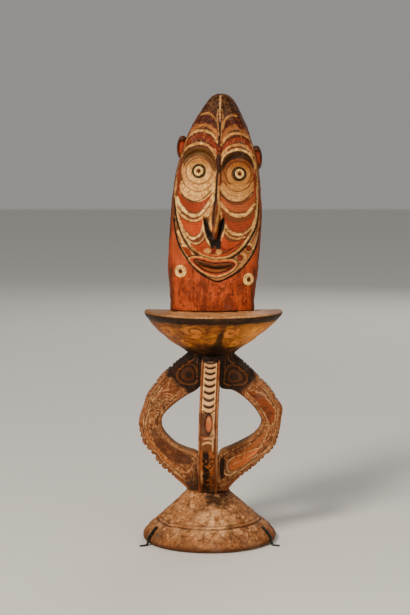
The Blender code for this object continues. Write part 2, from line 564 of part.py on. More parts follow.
# eyes: a bed of resin, a ground shell disc pressed into it and a plug for the pupil
for side, (ex, ez) in EYES.items():
    seat = seat_matrix(ex, ez, 5.2)
    pocket = cylinder(EYE_BED_R + GAP, -EYE_BED_T - GAP, 20.0, f"eye_pocket_{side}", seat, sides=22)
    boolean(head, pocket, "DIFFERENCE")
    well, pin = EYE_SHELL_R + GAP, EYE_SHELL_HOLE - 0.2
    cylinder(EYE_BED_R, -EYE_BED_T, 2.4, f"eye_bed_{side}", seat, keep=True, slot="black_resin", sides=22,
             top=[(EYE_BED_R, 1.0), (EYE_BED_R - 0.9, 2.2), (well + 0.9, 2.2), (well, 1.4), (well, -1.0), (pin, -1.0), (pin, -3.0)])
    washer(EYE_SHELL_R, EYE_SHELL_HOLE, -1.0 + GAP, 1.6, f"eye_shell_{side}", seat, "cone_shell", sides=22)
    cylinder(EYE_SHELL_HOLE - 0.5, -3.0 + GAP, 2.6, f"pupil_{side}", seat, keep=True, slot="dark_wood", sides=16,
             top=[(EYE_SHELL_HOLE - 0.5, 1.2), (EYE_SHELL_HOLE - 0.9, 2.0), (1.0, 2.5)])

# cheeks: a shell disc on each side of the neck, held by a wooden peg
for side, (ex, ez) in CHEEKS.items():
    seat = seat_matrix(ex, ez, 0.0)
    boolean(head, cylinder(CHEEK_SHELL_R + GAP, -1.0 - GAP, 12.0, f"cheek_seat_{side}", seat, sides=22), "DIFFERENCE")
    boolean(head, cylinder(CHEEK_HOLE - 0.5 + GAP, -CHEEK_PEG_L - GAP, 2.0, f"cheek_hole_{side}", seat, sides=16), "DIFFERENCE")
    washer(CHEEK_SHELL_R, CHEEK_HOLE, -1.0, CHEEK_T - 1.0, f"cheek_shell_{side}", seat, "cone_shell", sides=22)
    cylinder(CHEEK_HOLE - 0.5, -CHEEK_PEG_L, 2.6, f"cheek_peg_{side}", seat, keep=True, slot="dark_wood", sides=16,
             top=[(CHEEK_HOLE - 0.5, 1.2), (CHEEK_HOLE - 1.0, 2.2), (1.2, 2.6)])

# forehead boss: a round-headed peg where the brows meet
fx, fz = FOREHEAD
y0, sx, sz = plane_at(fx, fz, 0.0)
boss_seat = Matrix.Rotation(math.radians(90), 4, "X")
boss_seat.translation = Vector((fx, y0 - 3.0, fz)) * MM
boolean(head, cylinder(BOSS_R + GAP, -BOSS_L - GAP, 12.0, "boss_hole", boss_seat, sides=20), "DIFFERENCE")
cylinder(BOSS_R, -BOSS_L, 5.0, "forehead_boss", boss_seat, keep=True, slot="dark_wood", sides=20,
         top=[(BOSS_R, 2.0), (BOSS_R - 0.9, 3.8), (BOSS_R - 2.6, 5.0), (1.2, 5.5)])


# ---------------------------------------------------------------- display clips that hold the foot down
def clip(name, bearing):
    """A strap bent over the foot's edge, with a drilled foot of its own that lies on the plinth."""
    line = [FOOT_PROFILE[7], FOOT_PROFILE[6], (103.8, 29.0)] + [FOOT_PROFILE[k] for k in (5, 4, 3, 2)] + [(FOOT_PROFILE[2][0] + 0.6, 1.9)]
    inner = []
    for k, (r, z) in enumerate(line):
        a, b = line[max(k - 1, 0)], line[min(k + 1, len(line) - 1)]
        d = np.array([b[0] - a[0], b[1] - a[1]])
        d /= np.linalg.norm(d)
        inner.append(np.array([r, z]) + np.array([-d[1], d[0]]) * CLIP_OFF)
    inner = inner[2:]
    outer = []
    for k, p in enumerate(inner):
        a, b = inner[max(k - 1, 0)], inner[min(k + 1, len(inner) - 1)]
        d = np.array(b) - np.array(a)
        d /= np.linalg.norm(d)
        outer.append(p + np.array([-d[1], d[0]]) * CLIP_T)
    inner[-1] = np.array([inner[-1][0], 0.0])
    outer[-1] = np.array([outer[-1][0], CLIP_T])
    outline = [tuple(p) for p in inner] + [(inner[-1][0] + CLIP_T + CLIP_FOOT, 0.0), (inner[-1][0] + CLIP_T + CLIP_FOOT, CLIP_T)]
    outline += [tuple(p) for p in outer[::-1]]
    sections = [[(r, side * CLIP_W / 2, z) for r, z in outline] for side in (-1, 1)]
    ob = add(name, rings(sections), "black_steel", smooth=25.0)
    turn = Matrix.Rotation(math.radians(bearing), 4, "Z")
    ob.data.transform(turn)
    at = inner[-1][0] + CLIP_T + CLIP_FOOT * 0.55
    hole = cylinder(1.7, -2.0, 4.0, f"{name}_hole", turn @ Matrix.Translation((at * MM, 0, 0)), sides=16)
    boolean(ob, hole, "DIFFERENCE")
    return ob


clip("clip_left", 180 + 28.0)
clip("clip_right", -27.0)
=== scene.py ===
import math

import bpy
import numpy as np
from mathutils import Matrix, Vector


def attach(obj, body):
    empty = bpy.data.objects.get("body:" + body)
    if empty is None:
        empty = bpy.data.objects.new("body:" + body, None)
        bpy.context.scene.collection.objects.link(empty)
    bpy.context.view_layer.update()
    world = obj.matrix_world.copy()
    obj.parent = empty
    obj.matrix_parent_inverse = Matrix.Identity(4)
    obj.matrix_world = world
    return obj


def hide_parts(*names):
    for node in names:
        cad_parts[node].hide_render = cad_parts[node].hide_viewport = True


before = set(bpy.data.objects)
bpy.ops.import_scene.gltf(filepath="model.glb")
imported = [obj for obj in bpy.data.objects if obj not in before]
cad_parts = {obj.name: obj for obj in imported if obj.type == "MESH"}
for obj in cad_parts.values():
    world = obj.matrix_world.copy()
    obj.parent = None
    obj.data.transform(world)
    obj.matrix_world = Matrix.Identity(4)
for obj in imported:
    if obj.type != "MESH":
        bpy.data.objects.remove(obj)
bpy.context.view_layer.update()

MM = 0.001


# ------------------------------------------------------------------ colours, sRGB to linear
def col(r, g, b):
    c = np.array([r, g, b], float) / 255.0
    return np.where(c <= 0.04045, c / 12.92, ((c + 0.055) / 1.055) ** 2.4)


CREAM, PALE, PINK = col(222, 176, 128), col(234, 198, 152), col(198, 148, 118)
RED, OCHRE, DEEP = col(152, 56, 26), col(168, 73, 41), col(100, 40, 24)
BROWN, DARK, BLACK = col(104, 56, 32), col(50, 26, 15), col(22, 13, 9)
# the olive brown is the painted shadow under the brows
TAN, BROW_SHADE_OLIVE, GOLD = col(164, 110, 72), col(92, 60, 24), col(176, 110, 44)
GREY = col(150, 118, 92)
SMOKE_AND_WARM_LIGHT = np.array([1.12, 1.0, 0.60])  # every colour is yellowed: partly by old smoke, partly a painted warm cast of the light


# ------------------------------------------------------------------ small mathematics
def smoothstep(a, b, x):
    t = np.clip((x - a) / (b - a), 0.0, 1.0)
    return t * t * (3 - 2 * t)


def smooth_curve(points, per_span, closed=False):
    p = np.array(points, float)
    if closed:
        p = np.vstack([p[-1], p, p[0], p[1]])
    else:
        p = np.vstack([2 * p[0] - p[1], p, 2 * p[-1] - p[-2]])
    rows = []
    for i in range(1, len(p) - 2):
        for k in range(per_span):
            t = k / per_span
            rows.append(0.5 * (2 * p[i] + (p[i + 1] - p[i - 1]) * t + (2 * p[i - 1] - 5 * p[i] + 4 * p[i + 1] - p[i + 2]) * t * t
                               + (3 * p[i] - p[i - 1] - 3 * p[i + 1] + p[i + 2]) * t ** 3))
    rows.append(p[-2])
    return np.array(rows)


def table(rows, at, column=1):
    rows = np.array(rows, float)
    return np.interp(at, rows[:, 0], rows[:, column])


def lattice(i, seed):
    v = np.sin(i[..., 0] * 127.1 + i[..., 1] * 311.7 + i[..., 2] * 74.7 + seed * 19.19) * 43758.5453
    return v - np.floor(v)


def noise(p, scale, seed=0):
    """Smooth value noise from 0 to 1 at points in millimetres; scale is one number or three."""
    q = np.asarray(p, float) / np.asarray(scale, float) + seed * 7.31
    i = np.floor(q)
    f = q - i
    f = f * f * (3 - 2 * f)
    out = 0.0
    for a in (0, 1):
        for b in (0, 1):
            for c in (0, 1):
                w = (f[..., 0] if a else 1 - f[..., 0]) * (f[..., 1] if b else 1 - f[..., 1]) * (f[..., 2] if c else 1 - f[..., 2])
                out = out + w * lattice(i + np.array([a, b, c]), seed)
    return out


def clouds(p, scale, seed=0, octaves=3):
    s, w, out, total = np.asarray(scale, float), 1.0, 0.0, 0.0
    for k in range(octaves):
        out = out + w * noise(p, s, seed + 3 * k)
        total += w
        s, w = s / 2.03, w * 0.55
    return out / total


def facets(p, size, seed=0):
    """Shallow tool marks: each cell of a jittered grid is one hollow cut, 0 at its middle and 1 at its border."""
    size = np.asarray(size, float)
    q = np.asarray(p, float) / size
    base = np.floor(q)
    best = np.full(q.shape[:-1], 9.0)
    for a in (-1, 0, 1):
        for b in (-1, 0, 1):
            for c in (-1, 0, 1):
                cell = base + np.array([a, b, c])
                spot = cell + 0.5 + 0.7 * (np.stack([lattice(cell, seed), lattice(cell, seed + 5), lattice(cell, seed + 9)], -1) - 0.5)
                best = np.minimum(best, ((q - spot) ** 2).sum(-1))
    return np.clip(np.sqrt(best), 0, 1)


def segment_distance(pts, x, y):
    """Distance to a polyline and the share of its length at the nearest point."""
    seg = np.hypot(*(pts[1:] - pts[:-1]).T)
    run = np.concatenate([[0], np.cumsum(seg)])
    best, where = np.full(x.shape, 1e9), np.zeros(x.shape)
    for k in range(len(seg)):
        if seg[k] < 1e-9:
            continue
        (ax, ay), (bx, by) = pts[k], pts[k + 1]
        dx, dy = bx - ax, by - ay
        t = np.clip(((x - ax) * dx + (y - ay) * dy) / (dx * dx + dy * dy), 0, 1)
        d = (x - ax - t * dx) ** 2 + (y - ay - t * dy) ** 2
        near = d < best
        best[near] = d[near]
        where[near] = (run[k] + t[near] * seg[k]) / run[-1]
    return np.sqrt(best), where


def inside_by(pts, x, y):
    d, _ = segment_distance(np.vstack([pts, pts[:1]]), x, y)
    inside = np.zeros(x.shape, bool)
    for (ax, ay), (bx, by) in zip(pts, np.roll(pts, -1, axis=0)):
        crosses = (ay > y) != (by > y)
        at = ax + (y - ay) * (bx - ax) / ((by - ay) if by != ay else 1e-12)
        inside ^= crosses & (x < at)
    return np.where(inside, d, -d)


class Sheet:
    """A drawing laid over a surface: a colour and a height for each point."""

    def __init__(self, u, v, base, wobble=None):
        self.u, self.v = u, v
        self.rgb = np.tile(base, (len(u), 1)).astype(float)
        self.h = np.zeros(len(u))
        self.wob = np.zeros(len(u)) if wobble is None else wobble
        self.rub = None  # how much of the pale paint is left

    def near(self, pts, margin):
        lo, hi = pts.min(0) - margin, pts.max(0) + margin
        return np.nonzero((self.u > lo[0]) & (self.u < hi[0]) & (self.v > lo[1]) & (self.v < hi[1]))[0]

    def mix(self, idx, w, colour):
        self.rgb[idx] += (colour - self.rgb[idx]) * np.asarray(w)[:, None]

    def wash(self, w, colour):
        self.mix(slice(None), w, colour)

    def stain(self, w, tint):
        """Darkens towards a tint by multiplying."""
        self.rgb *= 1 + (np.array(tint) - 1) * np.clip(w, 0, 1)[:, None]

    def line(self, points, width, colour, depth=0.0, strength=1.0, closed=False, taper=0.0, soft=0.42):
        pts = smooth_curve(points, 6, closed)
        idx = self.near(pts, width + 2)
        if not len(idx):
            return
        d, t = segment_distance(pts, self.u[idx], self.v[idx])
        d = d + self.wob[idx] * min(1.0, 0.35 * width)
        half = width / 2 * (1 - taper * np.abs(2 * t - 1) ** 2)
        if self.rub is not None and colour is not None and colour[0] > 0.45 and colour[1] > 0.25:
            left = self.rub[idx]
            half = half * (0.62 + 0.34 * left)
            strength = strength * (0.45 + 0.55 * left)
        m = smoothstep(half + soft, half - soft, d)
        if colour is not None:
            self.mix(idx, m * strength, colour)
        self.h[idx] += depth * smoothstep(half + soft, half * 0.3, d)

    def fill(self, points, colour, depth=0.0, strength=1.0, soft=0.6, smooth=True):
        pts = smooth_curve(points, 5, True) if smooth else np.array(points, float)
        idx = self.near(pts, soft + 1)
        if not len(idx):
            return
        d = inside_by(pts, self.u[idx], self.v[idx]) + self.wob[idx] * 0.7
        m = smoothstep(-soft, soft, d)
        self.mix(idx, m * strength, colour)
        self.h[idx] += depth * m

    def disc(self, x, y, r, colour, depth=0.0, strength=1.0, soft=0.5, squash=1.0):
        d = np.hypot(self.u - x, (self.v - y) / squash) + self.wob * 0.5
        m = smoothstep(r + soft, r - soft, d)
        self.wash(m * strength, colour)
        self.h += depth * m

    def ring(self, x, y, r, width, colour, depth=0.0, strength=1.0, soft=0.42, squash=1.0):
        d = np.abs(np.hypot(self.u - x, (self.v - y) / squash) + self.wob * 0.4 - r)
        m = smoothstep(width / 2 + soft, width / 2 - soft, d)
        self.wash(m * strength, colour)
        self.h += depth * m


# ------------------------------------------------------------------ meshes
def make_mesh(name, verts, faces, rgb, sheen_and_dust_amount=None, sharp=None):
    """A mesh from points in millimetres, with its drawing stored as a colour and a value for dust and painted sheen on
    each point.
    """
    me = bpy.data.meshes.new(name)
    me.from_pydata((np.asarray(verts) * MM).tolist(), [], faces)
    me.validate(clean_customdata=False)
    paint = me.color_attributes.new("paint", "FLOAT_COLOR", "POINT")
    data = np.ones((len(me.vertices), 4), np.float32)
    # yellowing of every colour: old smoke, and a painted warm cast of the light
    data[:, :3] = np.clip(rgb * SMOKE_AND_WARM_LIGHT, 0, 1)
    paint.data.foreach_set("color", data.ravel())
    # one value per point for dust and painted sheen; the material mixes a pale tint in by it
    g = me.attributes.new("dust_and_sheen", "FLOAT", "POINT")
    g.data.foreach_set("value", np.asarray(np.zeros(len(verts)) if sheen_and_dust_amount is None else sheen_and_dust_amount, np.float32))
    me.shade_smooth()
    if sharp:
        me.set_sharp_from_angle(angle=math.radians(sharp))
    me.update()
    ob = bpy.data.objects.new(name, me)
    bpy.context.scene.collection.objects.link(ob)
    return ob


def grid_faces(rows, cols, offset=0, flip=False):
    """Quads of a grid that closes on itself across its columns."""
    r, c = np.meshgrid(np.arange(rows - 1), np.arange(cols), indexing="ij")
    a = offset + r * cols + c
    b = offset + r * cols + (c + 1) % cols
    quads = np.stack([a, b, b + cols, a + cols], -1).reshape(-1, 4)
    return (quads[:, ::-1] if flip else quads).tolist()


def place(ob, slot, *nodes):
    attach(ob, "root")
    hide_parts(*nodes)
    return ob


# ------------------------------------------------------------------ materials
def painted(name, rough, grain=(700, 700, 60), bump=0.25, fleck=0.5, crack=0.3, coarse=90.0, dust_and_sheen_tint=(0.30, 0.22, 0.16)):
    """Paint or stain on carved wood: the drawing, with a pale tint that is dust and painted sheen, grain, specks and
    fine cracks over it.
    """
    m = bpy.data.materials.new(name)
    m.use_nodes = True
    nt = m.node_tree
    n, link = nt.nodes, nt.links.new
    p = n["Principled BSDF"]
    draw = n.new("ShaderNodeAttribute"); draw.attribute_name = "paint"
    dust_and_sheen = n.new("ShaderNodeAttribute"); dust_and_sheen.attribute_name = "dust_and_sheen"
    where = n.new("ShaderNodeTexCoord")

    def cloud(scale, detail, rough_, stretch=(1, 1, 1)):
        mp = n.new("ShaderNodeMapping"); mp.inputs["Scale"].default_value = stretch
        link(where.outputs["Object"], mp.inputs["Vector"])
        t = n.new("ShaderNodeTexNoise")
        t.inputs["Scale"].default_value = scale; t.inputs["Detail"].default_value = detail; t.inputs["Roughness"].default_value = rough_
        link(mp.outputs["Vector"], t.inputs["Vector"])
        return t.outputs["Fac"]

    def remap(src, a, b, c, d):
        r = n.new("ShaderNodeMapRange")
        for key, value in (("From Min", a), ("From Max", b), ("To Min", c), ("To Max", d)):
            r.inputs[key].default_value = value
        link(src, r.inputs["Value"])
        return r.outputs["Result"]

    def mix(kind, fac, a, b):
        x = n.new("ShaderNodeMix"); x.data_type = "RGBA"; x.blend_type = kind
        if isinstance(fac, float):
            x.inputs[0].default_value = fac
        else:
            link(fac, x.inputs[0])
        for sock, v in ((x.inputs[6], a), (x.inputs[7], b)):
            if isinstance(v, tuple):
                sock.default_value = (*v, 1.0)
            else:
                link(v, sock)
        return x.outputs[2]

    def grey(value):
        c = n.new("ShaderNodeCombineColor")
        for k in range(3):
            link(value, c.inputs[k])
        return c.outputs["Color"]

    broad = cloud(coarse * 0.35, 4.0, 0.6)
    fine = cloud(coarse * 4.0, 5.0, 0.65)
    fibre = cloud(1.0, 4.0, 0.6, grain)
    speck = cloud(coarse * 7.0, 3.0, 0.7)
    c = mix("MULTIPLY", 1.0, draw.outputs["Color"], grey(remap(broad, 0.3, 0.7, 0.84, 1.14)))
    c = mix("MULTIPLY", 1.0, c, grey(remap(fine, 0.3, 0.7, 0.80, 1.16)))
    c = mix("MULTIPLY", 1.0, c, grey(remap(fibre, 0.32, 0.68, 0.80, 1.12)))
    c = mix("MIX", remap(speck, 0.62, 0.72, 0.0, fleck), c, (0.035, 0.016, 0.009))
    # pale tint by the dust-and-sheen value: dust, and painted sheen
    c = mix("MIX", remap(dust_and_sheen.outputs["Fac"], 0.0, 1.0, 0.0, 0.26), c, dust_and_sheen_tint)
    link(c, p.inputs["Base Color"])
    link(remap(fine, 0.3, 0.7, rough - 0.12, min(1.0, rough + 0.10)), p.inputs["Roughness"])
    height = n.new("ShaderNodeMath"); height.operation = "ADD"
    link(remap(fibre, 0.25, 0.75, 0.0, 1.0), height.inputs[0]); link(remap(fine, 0.25, 0.75, 0.0, 0.8), height.inputs[1])
    b = n.new("ShaderNodeBump"); b.inputs["Strength"].default_value = bump; b.inputs["Distance"].default_value = 0.0012
    link(height.outputs[0], b.inputs["Height"]); link(b.outputs["Normal"], p.inputs["Normal"])
    p.inputs["Specular IOR Level"].default_value = 0.18
    return m


MAT_HEAD = painted("head_paint", 0.66)
MAT_ARM = painted("arm_wood", 0.62, bump=0.35)
MAT_DISH = painted("dish_wood_worn", 0.55, grain=(60, 60, 700), bump=0.30)
MAT_FOOT = painted("foot_wood_dusty", 0.74, grain=(90, 90, 500), bump=0.40, fleck=0.4)
MAT_DARK = painted("dark_wood_stained", 0.5, bump=0.25, fleck=0.3)
MAT_SHELL = painted("ground_shell", 0.36, grain=(260, 260, 260), bump=0.08, fleck=0.55, coarse=140.0)
MAT_RESIN = painted("plant_resin", 0.42, grain=(300, 300, 300), bump=0.35, fleck=0.0, coarse=160.0)
MAT_STEEL = painted("black_enamel", 0.38, grain=(120, 120, 900), bump=0.08, fleck=0.1, coarse=220.0)
MAT_STEEL.node_tree.nodes["Principled BSDF"].inputs["Metallic"].default_value = 0.55

# ------------------------------------------------------------------ the drawing's own coordinates
# The carved design is laid out as it is seen from straight in front, on a sheet of 410 by 615 units.
EYE_POINT, TILT, REACH = (-7.936, -2645.5, 648.48), 0.0860953, 1478.4


def seen(p):
    d = np.asarray(p, float) - np.array(EYE_POINT)
    c, s = math.cos(TILT), math.sin(TILT)
    depth = d[..., 1] * c - d[..., 2] * s
    return 205.0 + REACH * d[..., 0] / depth, 307.5 - REACH * (d[..., 2] * c + d[..., 1] * s) / depth


def U(*flat):
    """Points of the upper part of the design, from pairs in sevenths of a unit."""
    return [(150 + flat[k] / 7, 88 + flat[k + 1] / 7) for k in range(0, len(flat), 2)]


def L(*flat):
    """The same for the lower part of the face."""
    return [(150 + flat[k] / 7, 190 + flat[k + 1] / 7) for k in range(0, len(flat), 2)]


# ------------------------------------------------------------------ head: its plain form
HEAD_OUTLINE = [
    (416.8, 5.4, 75.6), (434.0, 5.4, 75.8), (452.0, 5.5, 77.2), (470.0, 6.2, 79.4), (488.0, 6.8, 81.0), (505.6, 7.4, 81.6),
    (523.4, 8.6, 81.7), (541.2, 9.8, 82.0), (559.0, 10.8, 82.1), (577.0, 11.8, 82.0), (594.7, 12.5, 81.3), (612.5, 12.7, 79.8),
    (630.3, 13.3, 78.2), (648.1, 14.0, 76.3), (666.0, 14.7, 73.6), (683.8, 15.3, 69.6), (701.6, 15.9, 64.6), (719.4, 16.3, 58.8),
    (737.2, 16.9, 52.2), (755.0, 18.0, 43.6), (772.8, 19.7, 33.6), (784.0, 20.4, 26.8), (792.0, 20.7, 20.6), (797.6, 20.8, 14.2),
    (800.6, 20.8, 7.4), (801.4, 20.8, 0.0),
]
HEAD_FRONT = [(416.8, 0.500), (505.0, 0.530), (620.0, 0.570), (684.0, 0.610), (720.0, 0.670), (755.0, 0.760), (801.4, 0.880)]
HEAD_BACK = [(416.8, 0.400), (620.0, 0.430), (720.0, 0.500), (801.4, 0.620)]
HEAD_MID = [(416.8, 9.0), (700.0, 8.0), (801.4, 3.0)]
EYES = {"left": (-19.0, 664.0), "right": (52.6, 659.2)}
CHEEKS = {"left": (-51.2, 486.8), "right": (69.2, 472.2)}
FOREHEAD = (17.4, 703.0)
NOSE_LINE = [(420.0, 9.0), (540.0, 6.0), (576.0, 8.0), (610.0, 12.2), (665.0, 15.4), (700.0, 17.4), (801.4, 20.8)]
NOSE_HEIGHT = [(533.0, 0.0), (540.0, 3.0), (548.0, 14.0), (556.0, 16.5), (570.0, 15.0), (590.0, 10.5), (620.0, 7.0), (660.0, 5.0),
               (690.0, 2.0), (700.0, 1.5), (720.0, 3.0), (770.0, 3.0), (795.0, 0.5)]
NOSE_WIDTH = [(533.0, 5.0), (548.0, 7.0), (566.0, 12.5), (584.0, 11.0), (620.0, 6.5), (660.0, 5.5), (700.0, 5.0), (801.4, 5.0)]
FACE_OVAL = [
    (13.3, 507.0), (-5.0, 510.6), (-18.8, 518.2), (-34.6, 533.8), (-45.8, 551.0), (-52.9, 576.4), (-56.8, 601.3), (-58.6, 625.0),
    (-58.6, 645.2), (-55.0, 666.0), (-49.7, 683.6), (-43.5, 701.0), (-38.2, 718.7), (-31.0, 736.0), (-19.0, 760.0), (-4.0, 782.0),
    (20.0, 792.0), (42.0, 782.0), (56.0, 760.0), (65.7, 736.3), (74.0, 711.0), (80.0, 692.0), (85.2, 666.0), (86.6, 639.0),
    (85.0, 617.0), (82.5, 585.7), (74.7, 554.2), (63.5, 535.4), (50.9, 521.4), (33.5, 510.3),
]
JAW_OVAL = [
    (14.4, 468.8), (-3.0, 474.3), (-18.8, 485.2), (-34.6, 501.0), (-45.8, 516.6), (-53.6, 535.4), (-58.4, 554.2), (-60.9, 574.6),
    (-60.0, 600.0), (-56.0, 640.0), (80.0, 640.0), (86.0, 600.0), (87.3, 578.1), (85.7, 554.2), (82.5, 532.4), (76.3, 513.5),
    (65.1, 497.8), (50.9, 483.6), (33.5, 474.3),
]
MOUTH = [(-23.6, 501.6), (0.0, 496.0), (22.0, 494.0), (41.4, 497.8), (33.5, 488.0), (14.0, 483.0), (-8.0, 486.5)]
FACE_CURVE, JAW_CURVE, MOUTH_CURVE = (smooth_curve(c, 4, True) for c in (FACE_OVAL, JAW_OVAL, MOUTH))
OUTLINE = smooth_curve(HEAD_OUTLINE, 6)


def head_section(z):
    cx, hw = np.interp(z, OUTLINE[:, 0], OUTLINE[:, 1]), np.interp(z, OUTLINE[:, 0], OUTLINE[:, 2])
    return cx, hw, table(HEAD_MID, z), hw * table(HEAD_FRONT, z), hw * table(HEAD_BACK, z)


def relief(x, z):
    rise = 3.0 * smoothstep(-1.0, 2.5, inside_by(FACE_CURVE, x, z)) + 2.2 * smoothstep(-1.0, 2.5, inside_by(JAW_CURVE, x, z))
    rise = rise - 5.0 * smoothstep(0.0, 4.0, inside_by(MOUTH_CURVE, x, z))
    for ex, ez in EYES.values():
        arch = smoothstep(30.5, 25.5, np.hypot(x - ex, z - (ez + 8.5)))
        rise = rise - arch * 8.0 * smoothstep(ez - 30.0, ez + 34.0, z)
    off = np.abs(x - table(NOSE_LINE, z))
    rise = rise + table(NOSE_HEIGHT, z) * np.clip(1 - (off / table(NOSE_WIDTH, z)) ** 1.6, 0, 1) * (z > 533.0)
    for side in (-1, 1):
        along = (z - 547.0) / 38.0
        mid = 7.5 + side * (3.5 + 13.0 * along)
        rise = rise - 8.0 * smoothstep(4.8, 1.5, np.abs(x - mid)) * smoothstep(-0.12, 0.1, along) * smoothstep(1.12, 0.8, along)
    return rise


def front_y(x, z, carved=True):
    x, z = np.atleast_1d(np.asarray(x, float)), np.atleast_1d(np.asarray(z, float))
    cx, hw, mid, front, _ = head_section(z)
    share = np.clip(np.abs((x - cx) / np.maximum(hw, 1e-6)), 0, 0.9999)
    y = mid - front * (1 - share ** 2.3) ** (1 / 2.3)
    if carved:
        y = y - relief(x, z) * smoothstep(1.0, 0.86, share)
        for ex, ez in EYES.values():
            y = flatten(x, z, y, ex, ez, 13.5, 18.0, 5.2)
        for ex, ez in CHEEKS.values():
            y = flatten(x, z, y, ex, ez, 11.6, 14.0, 0.0)
    return y


def plane_at(ex, ez, sink):
    d = 6.0
    y0 = float(front_y(ex, ez, False)[0]) + sink - 3.0 * (sink > 0)
    sx = float((front_y(ex + d, ez, False) - front_y(ex - d, ez, False))[0]) / (2 * d)
    sz = float((front_y(ex, ez + d, False) - front_y(ex, ez - d, False))[0]) / (2 * d) + (0.10 if sink > 0 else 0.0)
    return y0, sx, sz


def flatten(x, z, y, ex, ez, inner, outer, sink):
    y0, sx, sz = plane_at(ex, ez, sink)
    w = smoothstep(outer, inner, np.hypot(x - ex, z - ez))
    return y * (1 - w) + (y0 + sx * (x - ex) + sz * (z - ez)) * w


def seat_matrix(ex, ez, sink):
    """Frame of an inlay's seat in millimetres, local +Z out of the wood."""
    y0, sx, sz = plane_at(ex, ez, sink)
    normal = Vector((sx, -1.0, sz)).normalized()
    side = Vector((1.0, sx, 0.0)).normalized()
    m = Matrix((side, normal.cross(side).normalized(), normal)).transposed().to_4x4()
    m.translation = Vector((ex, y0, ez))
    return np.array(m)


